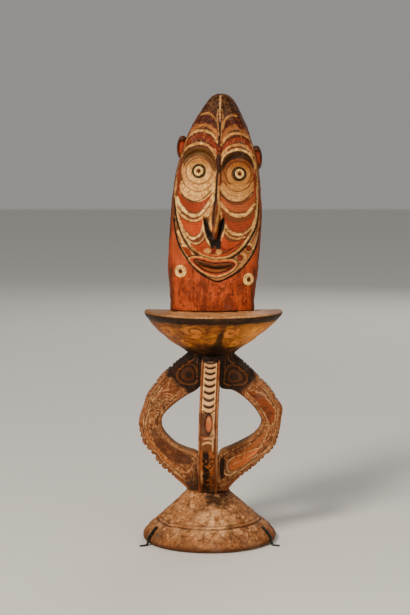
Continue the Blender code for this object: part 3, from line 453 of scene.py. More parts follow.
# ------------------------------------------------------------------ head: the painted and carved design
def draw_face(u, v, p):
    wob = (clouds(p, 7.0, 11, 2) - 0.5) * 1.5
    s = Sheet(u, v, OCHRE, wob)
    s.rub = smoothstep(0.22, 0.58, clouds(p, (5.5, 5.5, 5.5), 12))
    mottled = clouds(p, (16, 16, 40), 21)
    s.wash(0.55 * smoothstep(0.5, 0.75, mottled), DEEP)
    s.wash(0.30 * smoothstep(0.55, 0.8, clouds(p, (6, 6, 30), 24)), col(214, 96, 50))
    s.wash(0.70 * smoothstep(0.55, 0.68, clouds(p, (2.8, 2.8, 4.0), 28)) * smoothstep(266, 286, v), DARK)
    s.wash(0.4 * smoothstep(0.52, 0.70, clouds(p, (3.5, 3.5, 22), 27)) * smoothstep(255, 266, v), col(196, 88, 46))
    s.stain(smoothstep(0.48, 0.66, clouds(p, (10, 10, 14), 31)) * smoothstep(252, 262, v) * 0.7, (0.62, 0.50, 0.45))
    s.wash(0.75 * smoothstep(0.52, 0.72, clouds(p, (7, 7, 26), 29)) * smoothstep(258, 270, v), DEEP)
    # both sides of the neck darker: painted shade on its rounded sides
    s.wash(0.80 * smoothstep(0.86, 0.96, np.abs(p[:, 0] - 5.6) / 77.0) * smoothstep(262, 272, v), DARK)
    # sides of the face and the crown
    face = L(172, 215, 182, 300, 215, 400, 270, 485, 335, 560, 400, 610, 470, 636, 540, 612, 620, 560, 700, 470, 745, 370, 765, 260)
    s.fill(U(120, 900, 150, 600, 190, 460, 240, 340, 330, 200, 420, 60, 490, 20, 570, 60, 650, 200, 720, 360, 760, 460, 790, 650, 800, 900,
             765, 975, 700, 1180, 620, 1270, 540, 1325, 470, 1350, 400, 1322, 335, 1272, 215, 1112, 172, 927), BROWN)
    s.wash(smoothstep(119, 108, v + 6 * (clouds(p, 12, 5) - 0.5)) * 0.95, col(66, 38, 22))
    s.wash(smoothstep(112, 100, v) * smoothstep(0.45, 0.7, clouds(p, (3, 3, 9), 6)) * 0.6, GREY)
    # forehead, left
    s.line(U(300, 300, 335, 262, 390, 250, 440, 285, 468, 335), 5.4, col(186, 130, 90))
    s.line(U(285, 318, 330, 283, 392, 276, 445, 312, 470, 360), 1.0, BROWN, -0.3, 0.8)
    s.fill(U(322, 250, 352, 205, 400, 190, 445, 215, 468, 285, 436, 268, 395, 245, 355, 250), col(110, 44, 26), -0.3)
    s.line(U(362, 185, 415, 178, 452, 212, 474, 265), 2.3, CREAM, 0.5)
    s.line(U(352, 200, 400, 186, 446, 214, 468, 268), 0.8, DARK, -0.5)
    s.line(U(258, 358, 296, 318, 340, 300, 392, 302, 438, 328, 470, 378), 2.4, PALE, 0.5)
    s.line(U(262, 385, 300, 347, 355, 330, 405, 348, 437, 388, 457, 440), 5.8, RED, -0.5)
    s.line(U(262, 370, 298, 332, 350, 314, 402, 322, 445, 355, 466, 405), 0.8, DARK, -0.5)
    s.line(U(212, 484, 235, 434, 285, 402, 345, 387, 400, 402, 440, 440, 464, 505), 3.0, CREAM, 0.6)
    s.line(U(222, 460, 262, 404, 345, 370, 412, 384, 452, 430), 0.8, DARK, -0.4)
    # painted shadow of the left brow over the upper eye socket, in olive brown
    s.fill(U(232, 505, 252, 455, 300, 424, 345, 412, 395, 424, 434, 458, 464, 540, 456, 590, 428, 560, 410, 515, 380, 486, 343, 476, 300, 484,
             262, 515, 240, 565), BROW_SHADE_OLIVE, 0.0, 0.9)
    s.line(U(232, 492, 258, 446, 300, 418, 345, 405, 396, 416, 434, 450, 458, 510), 0.9, DARK, -0.6)
    # forehead, right
    s.line(U(506, 352, 540, 300, 590, 272, 640, 288, 684, 335), 5.2, col(168, 112, 76))
    s.line(U(506, 378, 540, 325, 592, 296, 645, 308, 690, 355), 0.9, BROWN, -0.3, 0.8)
    s.fill(U(515, 300, 535, 238, 580, 210, 632, 232, 662, 285, 640, 290, 590, 250, 545, 270), col(104, 42, 25), -0.3)
    s.line(U(505, 292, 524, 226, 566, 190, 606, 196), 2.2, CREAM, 0.5)
    s.line(U(498, 402, 528, 352, 580, 320, 640, 320, 690, 350, 718, 402), 2.5, CREAM, 0.5)
    s.line(U(515, 432, 550, 388, 600, 360, 655, 368, 697, 405, 722, 462), 4.6, col(160, 62, 36), -0.4)
    s.line(U(506, 415, 538, 368, 590, 340, 650, 342, 700, 378), 0.8, DARK, -0.4)
    s.line(U(508, 470, 540, 425, 575, 405, 625, 396, 680, 418, 714, 470), 3.0, col(208, 158, 112), 0.2)
    s.line(U(502, 530, 520, 478, 565, 444, 622, 432, 680, 452, 716, 498, 738, 562), 2.5, PALE, 0.6)
    # painted shadow of the right brow over the upper eye socket, in dark olive
    s.fill(U(496, 590, 512, 508, 548, 470, 610, 452, 668, 460, 702, 492, 724, 548, 704, 562, 680, 520, 640, 498, 600, 498, 560, 520, 534, 565),
           col(70, 44, 17), 0.0, 0.96)
    s.line(U(508, 520, 535, 470, 600, 446, 670, 458, 712, 505), 0.9, BLACK, -0.6)
    # midline, boss ground and nose line
    s.line(U(478, 150, 470, 200, 478, 270, 484, 330, 476, 392), 1.2, TAN, 0.3)
    s.line(U(502, 150, 508, 200, 500, 270, 500, 330, 508, 392), 1.2, TAN, 0.3)
    s.line(U(492, 62, 491, 130, 489, 200, 490, 245), 1.9, col(196, 158, 134), 0.6)
    s.line(U(490, 240, 489, 300, 486, 350, 481, 402), 2.0, BLACK, -0.8)
    s.line(U(452, 432, 458, 466, 484, 482, 510, 468, 514, 436), 2.2, col(206, 156, 116), 0.3)
    s.line(U(480, 482, 479, 530, 478, 588), 5.4, col(58, 27, 13), -0.5)
    # around and below the left eye
    ex, ey = 150 + 343 / 7, 88 + 580 / 7
    s.disc(ex, ey, 17.5, col(206, 156, 112), strength=0.9)
    # the left brow's painted shadow again, round the eye
    s.fill(U(236, 560, 262, 515, 300, 484, 343, 476, 380, 486, 410, 515, 428, 560, 456, 590, 464, 540, 434, 458, 395, 424, 345, 412, 300, 424,
             252, 455, 232, 505), BROW_SHADE_OLIVE, 0.0, 0.9)
    s.disc(ex, ey, 12.3, CREAM)
    s.ring(ex, ey, 13.1, 0.9, BROWN, -0.4)
    s.fill(U(232, 640, 275, 690, 343, 708, 405, 690, 446, 645, 452, 714, 440, 730, 410, 760, 380, 784, 320, 794, 260, 774, 225, 714), PALE, 0.0, 0.9)
    s.fill(L(205, 0, 240, 45, 290, 70, 340, 70, 390, 45, 436, 0, 446, -70, 380, -40, 300, -40, 225, -70), CREAM, 0.0, 0.95)
    s.line(U(212, 620, 250, 685, 300, 718, 343, 725, 400, 706, 446, 655), 0.9, BROWN, -0.4)
    s.line(U(205, 655, 240, 722, 300, 756, 350, 760, 410, 735, 448, 690), 0.7, BROWN, -0.3, 0.7)
    s.line(U(200, 580, 192, 660, 200, 730, 222, 790), 3.4, col(150, 60, 36), -0.3)
    s.line(L(200, -12, 238, 45, 290, 74, 342, 74, 392, 45, 436, 0), 1.1, DARK, -0.6)
    s.fill(L(193, 20, 236, 64, 290, 90, 342, 90, 392, 62, 438, 18, 424, 75, 384, 122, 332, 152, 284, 150, 238, 112, 205, 66), RED, -0.4)
    s.line(L(186, 52, 215, 115, 260, 160, 310, 180, 357, 164, 402, 110, 436, 44), 3.5, PALE, 0.5)
    s.line(L(186, 98, 224, 152, 270, 187, 312, 198, 352, 183, 397, 136, 430, 88), 0.9, BROWN, -0.5)
    s.line(L(192, 128, 224, 174, 266, 205, 311, 216, 352, 201, 392, 158, 418, 118), 1.9, CREAM, 0.3)
    s.fill(L(203, 178, 240, 210, 290, 230, 340, 222, 380, 192, 372, 250, 347, 296, 305, 320, 262, 292, 230, 248), col(188, 72, 34), -0.4)
    s.line(L(204, 212, 234, 280, 275, 325, 312, 338, 351, 310, 374, 262, 384, 210), 2.4, PALE, 0.5)
    s.line(L(228, 300, 272, 346, 316, 358, 352, 334, 380, 288), 0.8, BROWN, -0.4)
    s.line(L(250, 336, 288, 368, 330, 374, 366, 350, 388, 316), 1.7, CREAM, 0.3)
    s.fill(L(286, 384, 338, 390, 386, 356, 402, 386, 424, 412, 370, 430, 326, 416), col(184, 72, 36), -0.3)
    # around and below the right eye
    ex, ey = 150 + 620 / 7, 88 + 602 / 7
    s.disc(ex, ey + 1.5, 17.0, col(184, 128, 88), strength=0.9)
    # the right brow's painted shadow again, round the eye
    s.fill(U(504, 560, 534, 515, 560, 500, 600, 482, 640, 482, 690, 515, 716, 560, 730, 545, 702, 480, 668, 456, 610, 450, 548, 468, 508, 508),
           col(70, 44, 17), 0.0, 0.95)
    s.disc(ex, ey, 11.8, col(214, 166, 116))
    s.ring(ex, ey, 12.8, 1.0, BROWN, -0.4)
    s.ring(ex, ey, 15.3, 0.8, BROWN, -0.3, 0.7)
    s.fill(U(512, 660, 556, 712, 620, 732, 684, 708, 722, 650, 730, 714, 700, 760, 620, 800, 540, 780, 498, 720), col(204, 152, 108), 0.0, 0.9)
    s.fill(L(486, -20, 540, 55, 600, 78, 660, 62, 728, -20, 700, -50, 620, -30, 540, -40), col(212, 164, 118), 0.0, 0.9)
    s.line(U(508, 650, 556, 706, 620, 724, 684, 698, 722, 640), 0.9, BROWN, -0.4)
    s.line(U(502, 690, 552, 742, 620, 760, 690, 732, 728, 680), 0.7, BROWN, -0.3, 0.7)
    s.line(U(728, 600, 738, 680, 732, 760, 722, 800), 3.0, col(146, 66, 42), -0.3)
    s.line(L(486, 8, 540, 66, 600, 86, 660, 71, 722, 14), 1.1, DARK, -0.6)
    s.fill(L(490, 38, 540, 86, 600, 106, 660, 93, 726, 40, 728, 86, 692, 132, 640, 153, 588, 151, 538, 126, 498, 86), col(154, 78, 48), -0.3)
    s.line(L(488, 82, 530, 140, 580, 174, 632, 181, 686, 159, 732, 100), 3.0, CREAM, 0.5)
    s.line(L(488, 112, 530, 167, 584, 199, 635, 204, 690, 182, 734, 128), 0.9, BROWN, -0.5)
    s.fill(L(502, 166, 540, 207, 590, 224, 640, 224, 696, 206, 730, 162, 718, 218, 692, 256, 650, 286, 600, 293, 554, 271, 522, 226), col(152, 58, 33), -0.4)
    s.line(L(502, 196, 530, 255, 570, 298, 615, 312, 666, 300, 712, 262, 740, 200), 2.6, CREAM, 0.5)
    s.line(L(506, 240, 545, 298, 600, 328, 664, 320, 712, 286), 0.8, BROWN, -0.4)
    s.line(L(514, 276, 556, 326, 610, 342, 664, 328), 1.5, col(206, 158, 112), 0.3)
    s.fill(L(500, 306, 540, 352, 600, 364, 650, 350, 690, 326, 644, 378, 592, 412, 530, 428, 488, 404, 482, 350), col(184, 68, 34), -0.3)
    s.line(L(490, 340, 494, 388, 528, 420, 578, 410, 628, 376, 676, 332), 0.9, BLACK, -0.4)
    # the nose: line, ridge, wings and nostrils
    s.line(U(452, 600, 452, 690, 448, 784), 2.3, CREAM, 0.2)
    s.line(L(442, -40, 440, 40, 428, 110, 402, 182), 2.4, PALE, 0.2)
    s.line(U(484, 600, 482, 700, 480, 784), 2.0, col(168, 106, 70), 0.2)
    s.line(L(480, -20, 482, 90, 500, 182), 1.9, CREAM, 0.2)
    s.line(L(430, 120, 420, 200, 430, 290), 2.8, CREAM)
    s.line(L(486, 120, 472, 210, 456, 292), 2.6, col(196, 146, 100))
    s.line(L(392, 168, 372, 222, 378, 290, 398, 345, 424, 392), 1.8, PALE, 0.4)
    s.line(L(494, 176, 524, 238, 514, 300, 496, 352), 1.8, CREAM, 0.4)
    s.line(U(478, 580, 469, 640, 465, 710, 462, 790), 2.0, BLACK, -0.9)
    s.line(L(461, -2, 456, 80, 449, 150, 441, 240, 438, 300), 1.7, BLACK, -0.7)
    s.fill(L(372, 196, 392, 200, 412, 250, 430, 296, 446, 330, 452, 392, 440, 408, 420, 380, 396, 326, 378, 262), col(22, 11, 7))
    s.fill(L(508, 192, 526, 214, 520, 270, 500, 322, 492, 392, 474, 414, 456, 396, 452, 350, 462, 306, 484, 250), col(22, 11, 7))
    s.fill(L(418, 352, 440, 330, 458, 348, 478, 332, 498, 356, 492, 410, 474, 402, 458, 384, 440, 402, 424, 400), col(22, 11, 7))
    s.fill(L(440, 250, 458, 300, 478, 250, 474, 318, 458, 346, 442, 318), col(134, 60, 30), 0.5)
    s.disc(150 + 402 / 7, 190 + 427 / 7, 3.6, CREAM, squash=0.7)
    s.disc(150 + 480 / 7, 190 + 433 / 7, 3.2, CREAM, squash=0.7)
    s.disc(150 + 445 / 7, 190 + 428 / 7, 2.4, col(136, 38, 22), -0.3)
    s.line(L(395, 452, 440, 458, 490, 452), 1.6, CREAM, 0.3)
    # jaw crescent and its motifs
    s.fill(L(172, 215, 182, 300, 215, 400, 270, 485, 335, 560, 400, 610, 470, 636, 540, 612, 620, 560, 700, 470, 745, 370, 765, 260,
             764, 120, 748, 235, 700, 350, 630, 440, 545, 488, 455, 498, 375, 482, 300, 434, 245, 360, 205, 275, 182, 170), TAN)
    s.line(L(184, 250, 208, 352, 252, 440, 290, 486), 1.0, BROWN, -0.5)
    s.line(L(196, 290, 222, 362, 262, 408, 300, 440), 2.2, CREAM, 0.3)
    s.fill(L(236, 402, 264, 404, 288, 440, 272, 474, 246, 452), RED, -0.3)
    s.line(L(222, 392, 268, 388, 302, 434, 300, 470), 1.4, PALE, 0.3)
    s.line(L(210, 400, 238, 462, 280, 500), 1.4, CREAM, 0.3)
    s.line(L(756, 200, 744, 300, 706, 372, 660, 420), 1.0, BROWN, -0.4)
    s.line(L(640, 540, 700, 470, 736, 390, 756, 300), 1.7, CREAM, 0.3)
    for hx, hy, r in ((690, 408, 2.9), (630, 476, 3.4)):
        x, y = 150 + hx / 7, 190 + hy / 7
        s.disc(x, y, r + 1.3, col(206, 158, 114))
        s.ring(x, y, r + 1.9, 0.9, BLACK, -0.4)
        s.disc(x, y, r * 0.9, RED)
        s.ring(x, y, r * 0.95, 0.8, BLACK, -0.4)
        s.ring(x, y, r * 0.45, 0.6, DARK, -0.3)
        s.line([(x - r, y - r - 0.5), (x + 0.6, y - r - 1.5), (x + r + 1.6, y - r + 0.3), (x + r + 2.2, y + 1.0)], 1.2, PALE, 0.3)
    # borders of the face and of the jaw
    s.line(L(292, 384, 366, 440, 450, 462, 534, 450, 606, 404), 1.7, col(190, 74, 36))
    s.line(U(262, 352, 232, 415, 205, 500, 188, 580, 178, 680, 173, 784) + L(180, 55, 190, 150, 211, 240, 246, 330, 300, 405, 370, 457, 450, 479,
           540, 468, 620, 420, 690, 335, 737, 225, 750, 90, 753, 0) + U(752, 640, 742, 540, 730, 455, 712, 400), 2.1, PALE, 0.5)
    s.line(U(180, 560, 166, 680, 163, 784) + L(170, 60, 181, 170, 204, 270, 244, 356, 300, 431, 375, 479, 455, 496, 545, 486, 630, 436, 701, 346,
           749, 232, 764, 90, 767, 0) + U(766, 680, 756, 560), 1.7, BLACK, -0.9)
    s.line(L(212, 408, 270, 478, 338, 548, 405, 596, 470, 620, 540, 596, 612, 548, 668, 486), 1.7, col(196, 158, 124), 0.4)
    s.line(L(168, 200, 178, 290, 208, 395, 260, 484, 330, 564, 400, 614, 470, 641, 546, 614, 624, 564, 704, 472, 750, 370, 770, 255), 1.9, BLACK, -0.9)
    # mouth
    lips = L(275, 480, 330, 468, 400, 480, 440, 492, 520, 490, 570, 488, 603, 505, 605, 530, 575, 562, 520, 592, 465, 605, 400, 590, 340, 555, 300, 520)
    mx, my = np.mean(lips, axis=0)
    wider = [(mx + (x - mx) * 1.07, my + (y - my) * 1.16) for x, y in lips]
    s.line(wider, 1.1, BLACK, -0.6, closed=True)
    s.fill(lips, col(182, 72, 34))
    s.line(lips, 1.35, PALE, 0.5, closed=True)
    s.line(L(330, 480, 400, 492, 445, 502, 520, 500, 575, 500), 1.3, col(196, 84, 40), 0.2)
    s.fill(L(305, 495, 345, 488, 440, 512, 540, 508, 588, 518, 570, 546, 520, 571, 460, 583, 400, 569, 350, 541), col(122, 70, 34))
    s.line(L(305, 495, 345, 488, 440, 512, 540, 508, 588, 518, 570, 546, 520, 571, 460, 583, 400, 569, 350, 541), 1.4, BLACK, -0.7, closed=True)
    s.fill(L(318, 498, 380, 512, 450, 530, 540, 524, 578, 522, 545, 542, 470, 553, 400, 541, 350, 520), col(24, 12, 8), -0.8)
    s.line(L(372, 545, 450, 566, 530, 556), 1.0, col(150, 92, 48), 0.3)
    s.line(L(368, 517, 450, 534, 530, 527), 0.6, col(96, 56, 28))
    # thin rings round the eyes, the shade of the brows and years of smoke
    for ex, ey, w_ in ((150 + 343 / 7, 88 + 580 / 7, 1.0), (150 + 620 / 7, 88 + 602 / 7, 1.0)):
        r_ = np.hypot(u - ex, v - ey)
        far = (r_ > 7.3)
        for rr in (8.6, 10.2, 11.6, 14.2, 15.7):
            m_ = smoothstep(0.42, 0.12, np.abs(r_ + 0.5 * wob - rr)) * smoothstep(0.42, 0.58, clouds(p, (6, 6, 6), 90 + int(rr)))
            s.wash(0.5 * m_, BROWN)
        s.stain(smoothstep(-1.0, -9.0, v - ey) * smoothstep(20.0, 12.0, r_) * far, (0.58, 0.42, 0.24))
        s.ring(ex, ey, 6.75, 1.1, BLACK, -0.3)
    brow = smoothstep(150.0, 140.0, v)
    reds = (s.rgb[:, 0] > 2.6 * s.rgb[:, 1]).astype(float)
    s.stain(reds * brow * (0.35 + 0.5 * smoothstep(0.42, 0.62, clouds(p, (4, 4, 6), 88))), (0.62, 0.58, 0.55))
    s.wash(brow * reds * 0.5 * smoothstep(0.60, 0.70, clouds(p, (2.2, 2.2, 2.8), 89)), col(204, 150, 108))
    strokes = np.abs(np.mod(np.hypot(u - 200.0, v - 178.0) * (u < 219) + np.hypot(u - 238.0, v - 180.0) * (u >= 219) + 1.2 * wob, 2.3) - 1.15)
    s.stain(smoothstep(0.45, 0.15, strokes) * smoothstep(168, 158, v) * smoothstep(0.42, 0.60, clouds(p, (5, 5, 5), 87)) * 0.75, (0.46, 0.36, 0.28))
    s.wash(smoothstep(118, 106, v) * 0.45 * smoothstep(0.55, 0.68, clouds(p, (2.6, 2.6, 5.0), 86)), col(170, 128, 98))
    low_face = smoothstep(150, 160, v) * smoothstep(262, 250, v)
    ring2 = np.abs(np.mod(np.hypot(u - 198.5, v - 168.5) * (u < 216) + np.hypot(u - 238.7, v - 172.0) * (u >= 216) + 1.0 * wob, 2.6) - 1.3)
    s.stain(smoothstep(0.42, 0.12, ring2) * low_face * smoothstep(0.40, 0.58, clouds(p, (6, 6, 6), 85)) * (np.hypot(u - 199, v - 171) > 9) * (np.hypot(u - 238.6, v - 174) > 9) * 0.62, (0.50, 0.38, 0.30))
    # darker round the right eye, on the face's right side: painted shade of the brow
    right = smoothstep(216.0, 224.0, u)
    s.stain(right * smoothstep(26.0, 16.0, np.hypot(u - 238.5, v - 174)) * 0.8, (0.66, 0.52, 0.36))
    s.stain(smoothstep(140.0, 118.0, v), (0.62, 0.54, 0.44))
    s.stain(smoothstep(155.0, 138.0, v) * 0.8, (0.88, 0.76, 0.60))
    s.line(U(494, 56, 492, 110, 490, 170, 490, 235), 1.5, col(206, 172, 150), 0.5, 0.8)
    s.line(U(478, 150, 470, 205, 476, 270, 483, 330), 0.8, col(210, 166, 128), 0.3, 0.8)
    s.line(U(505, 150, 511, 205, 503, 270, 502, 330), 0.8, col(210, 166, 128), 0.3, 0.8)
    jaw_ = smoothstep(-1, 2, inside_by(np.array(L(172, 215, 182, 300, 215, 400, 270, 485, 335, 560, 400, 610, 470, 636, 540, 612, 620, 560, 700, 470, 745, 370, 765, 260)), u, v))
    s.stain(jaw_ * smoothstep(243, 250, v), (0.80, 0.66, 0.52))
    pale_ = smoothstep(0.18, 0.40, s.rgb[:, 1])
    s.stain(pale_ * smoothstep(0.50, 0.66, clouds(p, (5.0, 5.0, 7.0), 95)) * 0.8, (0.66, 0.52, 0.40))
    s.stain(pale_ * smoothstep(0.54, 0.66, clouds(p, (2.4, 2.4, 3.2), 97)) * 0.8, (0.52, 0.40, 0.30))
    s.stain(smoothstep(0.56, 0.68, clouds(p, (2.2, 2.2, 4.0), 98)) * smoothstep(190, 120, v) * 0.8, (0.40, 0.30, 0.26))
    s.stain(smoothstep(20.0, 11.0, np.hypot(u - 239.5, v - 170.0)) * 0.7, (0.84, 0.77, 0.68))  # the right eye's hollow is darker: painted shade under the brow
    # the reds of the face are duller than the neck, and thin scored lines run round the eyes over everything
    on_face = smoothstep(262.0, 250.0, v) * smoothstep(43.0, 38.0, np.abs(u - 217.0))
    s.stain(smoothstep(4.5, 6.5, s.rgb[:, 0] / np.maximum(s.rgb[:, 1], 1e-4)) * on_face * 0.85, (0.74, 0.82, 0.76))
    # pale paint brightened, more on the face's left than its right: painted light from the left
    light = smoothstep(0.30, 0.42, s.rgb[:, 1]) * on_face
    s.stain(light * np.where(u < 217.0, 0.9, 0.5), (1.22, 1.22, 1.18))
    around = np.where(u < 217.0, np.hypot(u - 194.5, v - 171.0), np.hypot(u - 238.5, v - 174.0)) + 1.4 * (noise(p, 15, 101) - 0.5)
    scored = smoothstep(0.62, 0.20, np.abs(np.mod(around, 2.9) - 1.45)) * smoothstep(14.0, 17.0, around)
    s.stain(scored * on_face * smoothstep(0.34, 0.56, clouds(p, (7, 7, 10), 99)) * 0.62, (0.60, 0.47, 0.38))
    return s


def build_head():
    nf, nb, nr = ((178, 64, 338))
    fine = np.linspace(-1, 1, 2001)
    depth = 0.57 * (1 - np.abs(fine) ** 2.3) ** (1 / 2.3)
    run = np.concatenate([[0], np.cumsum(np.hypot(np.diff(fine), np.diff(depth)))])
    shares = np.interp(np.linspace(0, run[-1], nf + 1), run, fine)
    ang = np.linspace(0, math.pi, nb + 1)[1:-1]
    cols = nf + 1 + len(ang)
    zs = np.concatenate([np.linspace(416.8, 780.0, nr), 780.0 + 21.2 * np.sin(np.linspace(0, math.pi / 2, 22)[1:])])
    X, Y, Z, front = (np.zeros((len(zs), cols)) for _ in range(4))
    for r, z in enumerate(zs):
        cx, hw, mid, f, b = (float(t) for t in head_section(z))
        hw = max(hw, 0.15)
        x = cx + hw * shares
        X[r, :nf + 1], Y[r, :nf + 1] = x, mid
        front[r, :nf + 1] = smoothstep(1.0, 0.90, np.abs(shares))
        c, s_ = np.cos(ang), np.sin(ang)
        X[r, nf + 1:] = cx + hw * np.sign(c) * np.abs(c) ** (2 / 2.8)
        Y[r, nf + 1:] = mid + b * s_ ** (2 / 2.8)
        Z[r] = z
    xf, zf = X[:, :nf + 1].ravel(), Z[:, :nf + 1].ravel()
    yf = front_y(xf, zf)
    Y[:, :nf + 1] = yf.reshape(len(zs), nf + 1)
    Y[:, 0], Y[:, nf] = table(HEAD_MID, zs), table(HEAD_MID, zs)
    P = np.stack([X, Y, Z], -1).reshape(-1, 3)
    fr = front.ravel()
    u, v = seen(P)
    s = draw_face(u, v, P)
    # sides and back: bare, smoke-darkened wood with the marks of the adze
    wood = Sheet(u, v, col(96, 50, 30))
    wood.wash(smoothstep(0.4, 0.75, clouds(P, (20, 20, 60), 41)), col(126, 66, 40))
    wood.wash(0.7 * smoothstep(0.5, 0.8, clouds(P, (8, 8, 34), 44)), col(58, 30, 18))
    red = smoothstep(700, 520, P[:, 2]) * smoothstep(0.42, 0.62, clouds(P, (26, 26, 50), 47))
    wood.wash(0.75 * red, col(150, 58, 32))
    w = fr * smoothstep(1.0, 0.75, np.abs(P[:, 1] * 0))
    rgb = wood.rgb * (1 - w[:, None]) + s.rgb * w[:, None]
    adze = facets(P, (13, 30, 17), 3)
    cx, hw, mid, f, b = head_section(P[:, 2])
    out = np.stack([(P[:, 0] - cx) / np.maximum(hw, 2), (P[:, 1] - mid) / np.maximum(np.where(P[:, 1] > mid, b, f), 2) , np.zeros(len(P))], -1)
    out /= np.maximum(np.linalg.norm(out, axis=1, keepdims=True), 1e-6)
    lift = s.h * fr * 0.9 + (clouds(P, 9.0, 51) - 0.5) * 0.8 + (1 - fr) * (adze - 0.5) * 1.6
    neck = smoothstep(268, 285, v) * fr
    lift += neck * (facets(P, (15, 40, 22), 8) - 0.5) * 0.9
    lift *= smoothstep(801.0, 786.0, P[:, 2]) * 0.9 + 0.1
    keep = np.ones(len(P))
    for (ex, ez), r in [(e, 13.0) for e in EYES.values()] + [(c, 12.2) for c in CHEEKS.values()]:
        keep = np.minimum(keep, np.where(P[:, 1] < 8, smoothstep(r - 1.0, r + 2.5, np.hypot(P[:, 0] - ex, P[:, 2] - ez)), 1.0))
    lift *= keep
    P[:, 0] += out[:, 0] * lift * (1 - fr)
    P[:, 1] += np.where(fr > 0.5, -lift, out[:, 1] * lift)
    # long drying cracks
    for x0, z0, z1, side in ((-30.0, 425.0, 505.0, -1), (40.0, 417.0, 470.0, -1), (22.0, 480.0, 700.0, 1), (-18.0, 417.0, 560.0, 1), (52.0, 560.0, 690.0, 1)):
        on = (P[:, 1] < 5) if side < 0 else (P[:, 1] > 12)
        off = np.abs(P[:, 0] - x0 - 3.0 * (noise(P * np.array([0, 0, 1.0]), 30.0, 61) - 0.5) * 2)
        c = on * smoothstep(0.9, 0.2, off) * smoothstep(z0, z0 + 14, P[:, 2]) * smoothstep(z1, z1 - 14, P[:, 2])
        P[:, 1] += -side * 0.9 * c
        rgb = rgb * (1 - 0.7 * c[:, None])
    foot_row = slice(0, cols)
    P[foot_row, 2] += np.where(P[foot_row, 1] > 9.0, -0.095 * (P[foot_row, 1] - 9.0), 0.020 * (P[foot_row, 1] - 9.0))
    faces = grid_faces(len(zs), cols, flip=False)
    top = [(len(zs) - 1) * cols + k for k in range(cols)]
    faces += [list(range(nf + 1))[::-1], ([*range(nf, cols)] + [0])[::-1], top]
    ob = make_mesh("head_carved", P, faces, rgb, 0.5 * smoothstep(0.62, 0.8, clouds(P, 30, 71)))
    ob.data.materials.append(MAT_HEAD)
    place(ob, "painted_wood", "head")


build_head()


# ------------------------------------------------------------------ pieces made on a turning line
def turned(profile, sides):
    """Points and quads of a closed turned piece; profile is a closed loop, or open from axis to axis."""
    profile = np.array(profile, float)
    a = np.linspace(0, 2 * math.pi, sides, endpoint=False)
    rows = [np.stack([r * np.cos(a), r * np.sin(a), np.full(sides, z)], -1) for r, z in profile]
    return np.concatenate(rows), grid_faces(len(profile), sides)


def rounded(profile, step, ease=0.5):
    """A profile with its corners eased and its edges cut to even steps."""
    p = np.array(profile, float)
    pts = [p[0]]
    for k in range(1, len(p) - 1):
        a, b = p[k - 1] - p[k], p[k + 1] - p[k]
        la, lb = np.linalg.norm(a), np.linalg.norm(b)
        e = min(ease, la * 0.45, lb * 0.45)
        for t in np.linspace(0, 1, 5):
            q = (1 - t) ** 2 * (p[k] + a / la * e) + 2 * t * (1 - t) * p[k] + t * t * (p[k] + b / lb * e)
            pts.append(q)
    pts.append(p[-1])
    pts = np.array(pts)
    run = np.concatenate([[0], np.cumsum(np.hypot(*np.diff(pts, axis=0).T))])
    n = max(8, int(run[-1] / step))
    return np.stack([np.interp(np.linspace(0, run[-1], n), run, pts[:, k]) for k in (0, 1)], -1)


def seated(name, profile, m, material, slot, node, rgb_of, sides=72, step=0.45, ease=0.5, lump=0.15, seed=1, closed=False, shift=0.0):
    prof = rounded(profile + ([profile[0]] if closed else []), step, ease)
    if closed:
        prof = prof[:-1]
    a = np.linspace(0, 2 * math.pi, sides, endpoint=False)
    p = np.concatenate([np.stack([r * np.cos(a), r * np.sin(a), np.full(sides, z)], -1) for r, z in prof])
    uneven = 1 + (noise(p * np.array([1, 1, 0.0]), 6.0, seed) - 0.5) * lump * 0.5
    p[:, :2] *= uneven[:, None]
    p[:, 2] += (clouds(p, 2.6, seed + 3) - 0.5) * lump * 2.0
    rgb = rgb_of(p, np.hypot(p[:, 0], p[:, 1]))
    w = (np.asarray(m) @ np.concatenate([p + np.array([0, 0, shift]), np.ones((len(p), 1))], 1).T).T[:, :3]
    rows = len(prof)
    faces = grid_faces(rows + 1, sides)
    if closed:
        faces = [[i % (rows * sides) for i in f] for f in faces]
    else:
        faces = grid_faces(rows, sides) + [list(range(sides))[::-1], [(rows - 1) * sides + k for k in range(sides)]]
    ob = make_mesh(name, w, faces, rgb, sharp=50)
    ob.data.materials.append(material)
    return place(ob, slot, node)


def shade(base, *washes):
    def paint(p, r):
        rgb = np.tile(base, (len(p), 1))
        for colour, amount in washes:
            w = amount(p, r)
            rgb = rgb + (colour - rgb) * np.clip(w, 0, 1)[:, None]
        return rgb
    return paint


shell_rgb = shade(
    col(228, 186, 128),
    (col(242, 212, 160), lambda p, r: smoothstep(0.45, 0.7, noise(p, 4.0, 5))),
    (col(150, 92, 44), lambda p, r: 0.7 * smoothstep(0.35, 0.0, np.abs(np.mod(np.hypot(p[:, 0], p[:, 1]) * 0.62 + np.arctan2(p[:, 1], p[:, 0]) / (2 * math.pi), 1) - 0.5) * 2 - 0.0)),
    (col(112, 62, 28), lambda p, r: 0.8 * smoothstep(0.62, 0.75, noise(p, (1.6, 1.6, 9), 8))),
    (col(138, 76, 34), lambda p, r: 0.9 * smoothstep(5.6, 4.2, r)),
    (col(34, 20, 12), lambda p, r: 0.9 * smoothstep(8.0, 8.6, r) * (r < 9.6) * (len(r) > 0 and float(np.max(r)) < 10.0)))
pupil_rgb = shade(col(40, 18, 11), (col(24, 11, 7), lambda p, r: smoothstep(1.2, 2.6, r)), (col(96, 38, 20), lambda p, r: 0.4 * smoothstep(0.5, 0.8, noise(p, 1.3, 3))))
resin_rgb = shade(col(24, 16, 12), (col(58, 40, 28), lambda p, r: 0.7 * smoothstep(0.5, 0.75, noise(p, 3.0, 7))), (col(96, 70, 48), lambda p, r: 0.4 * smoothstep(0.66, 0.8, noise(p, 1.5, 4))))

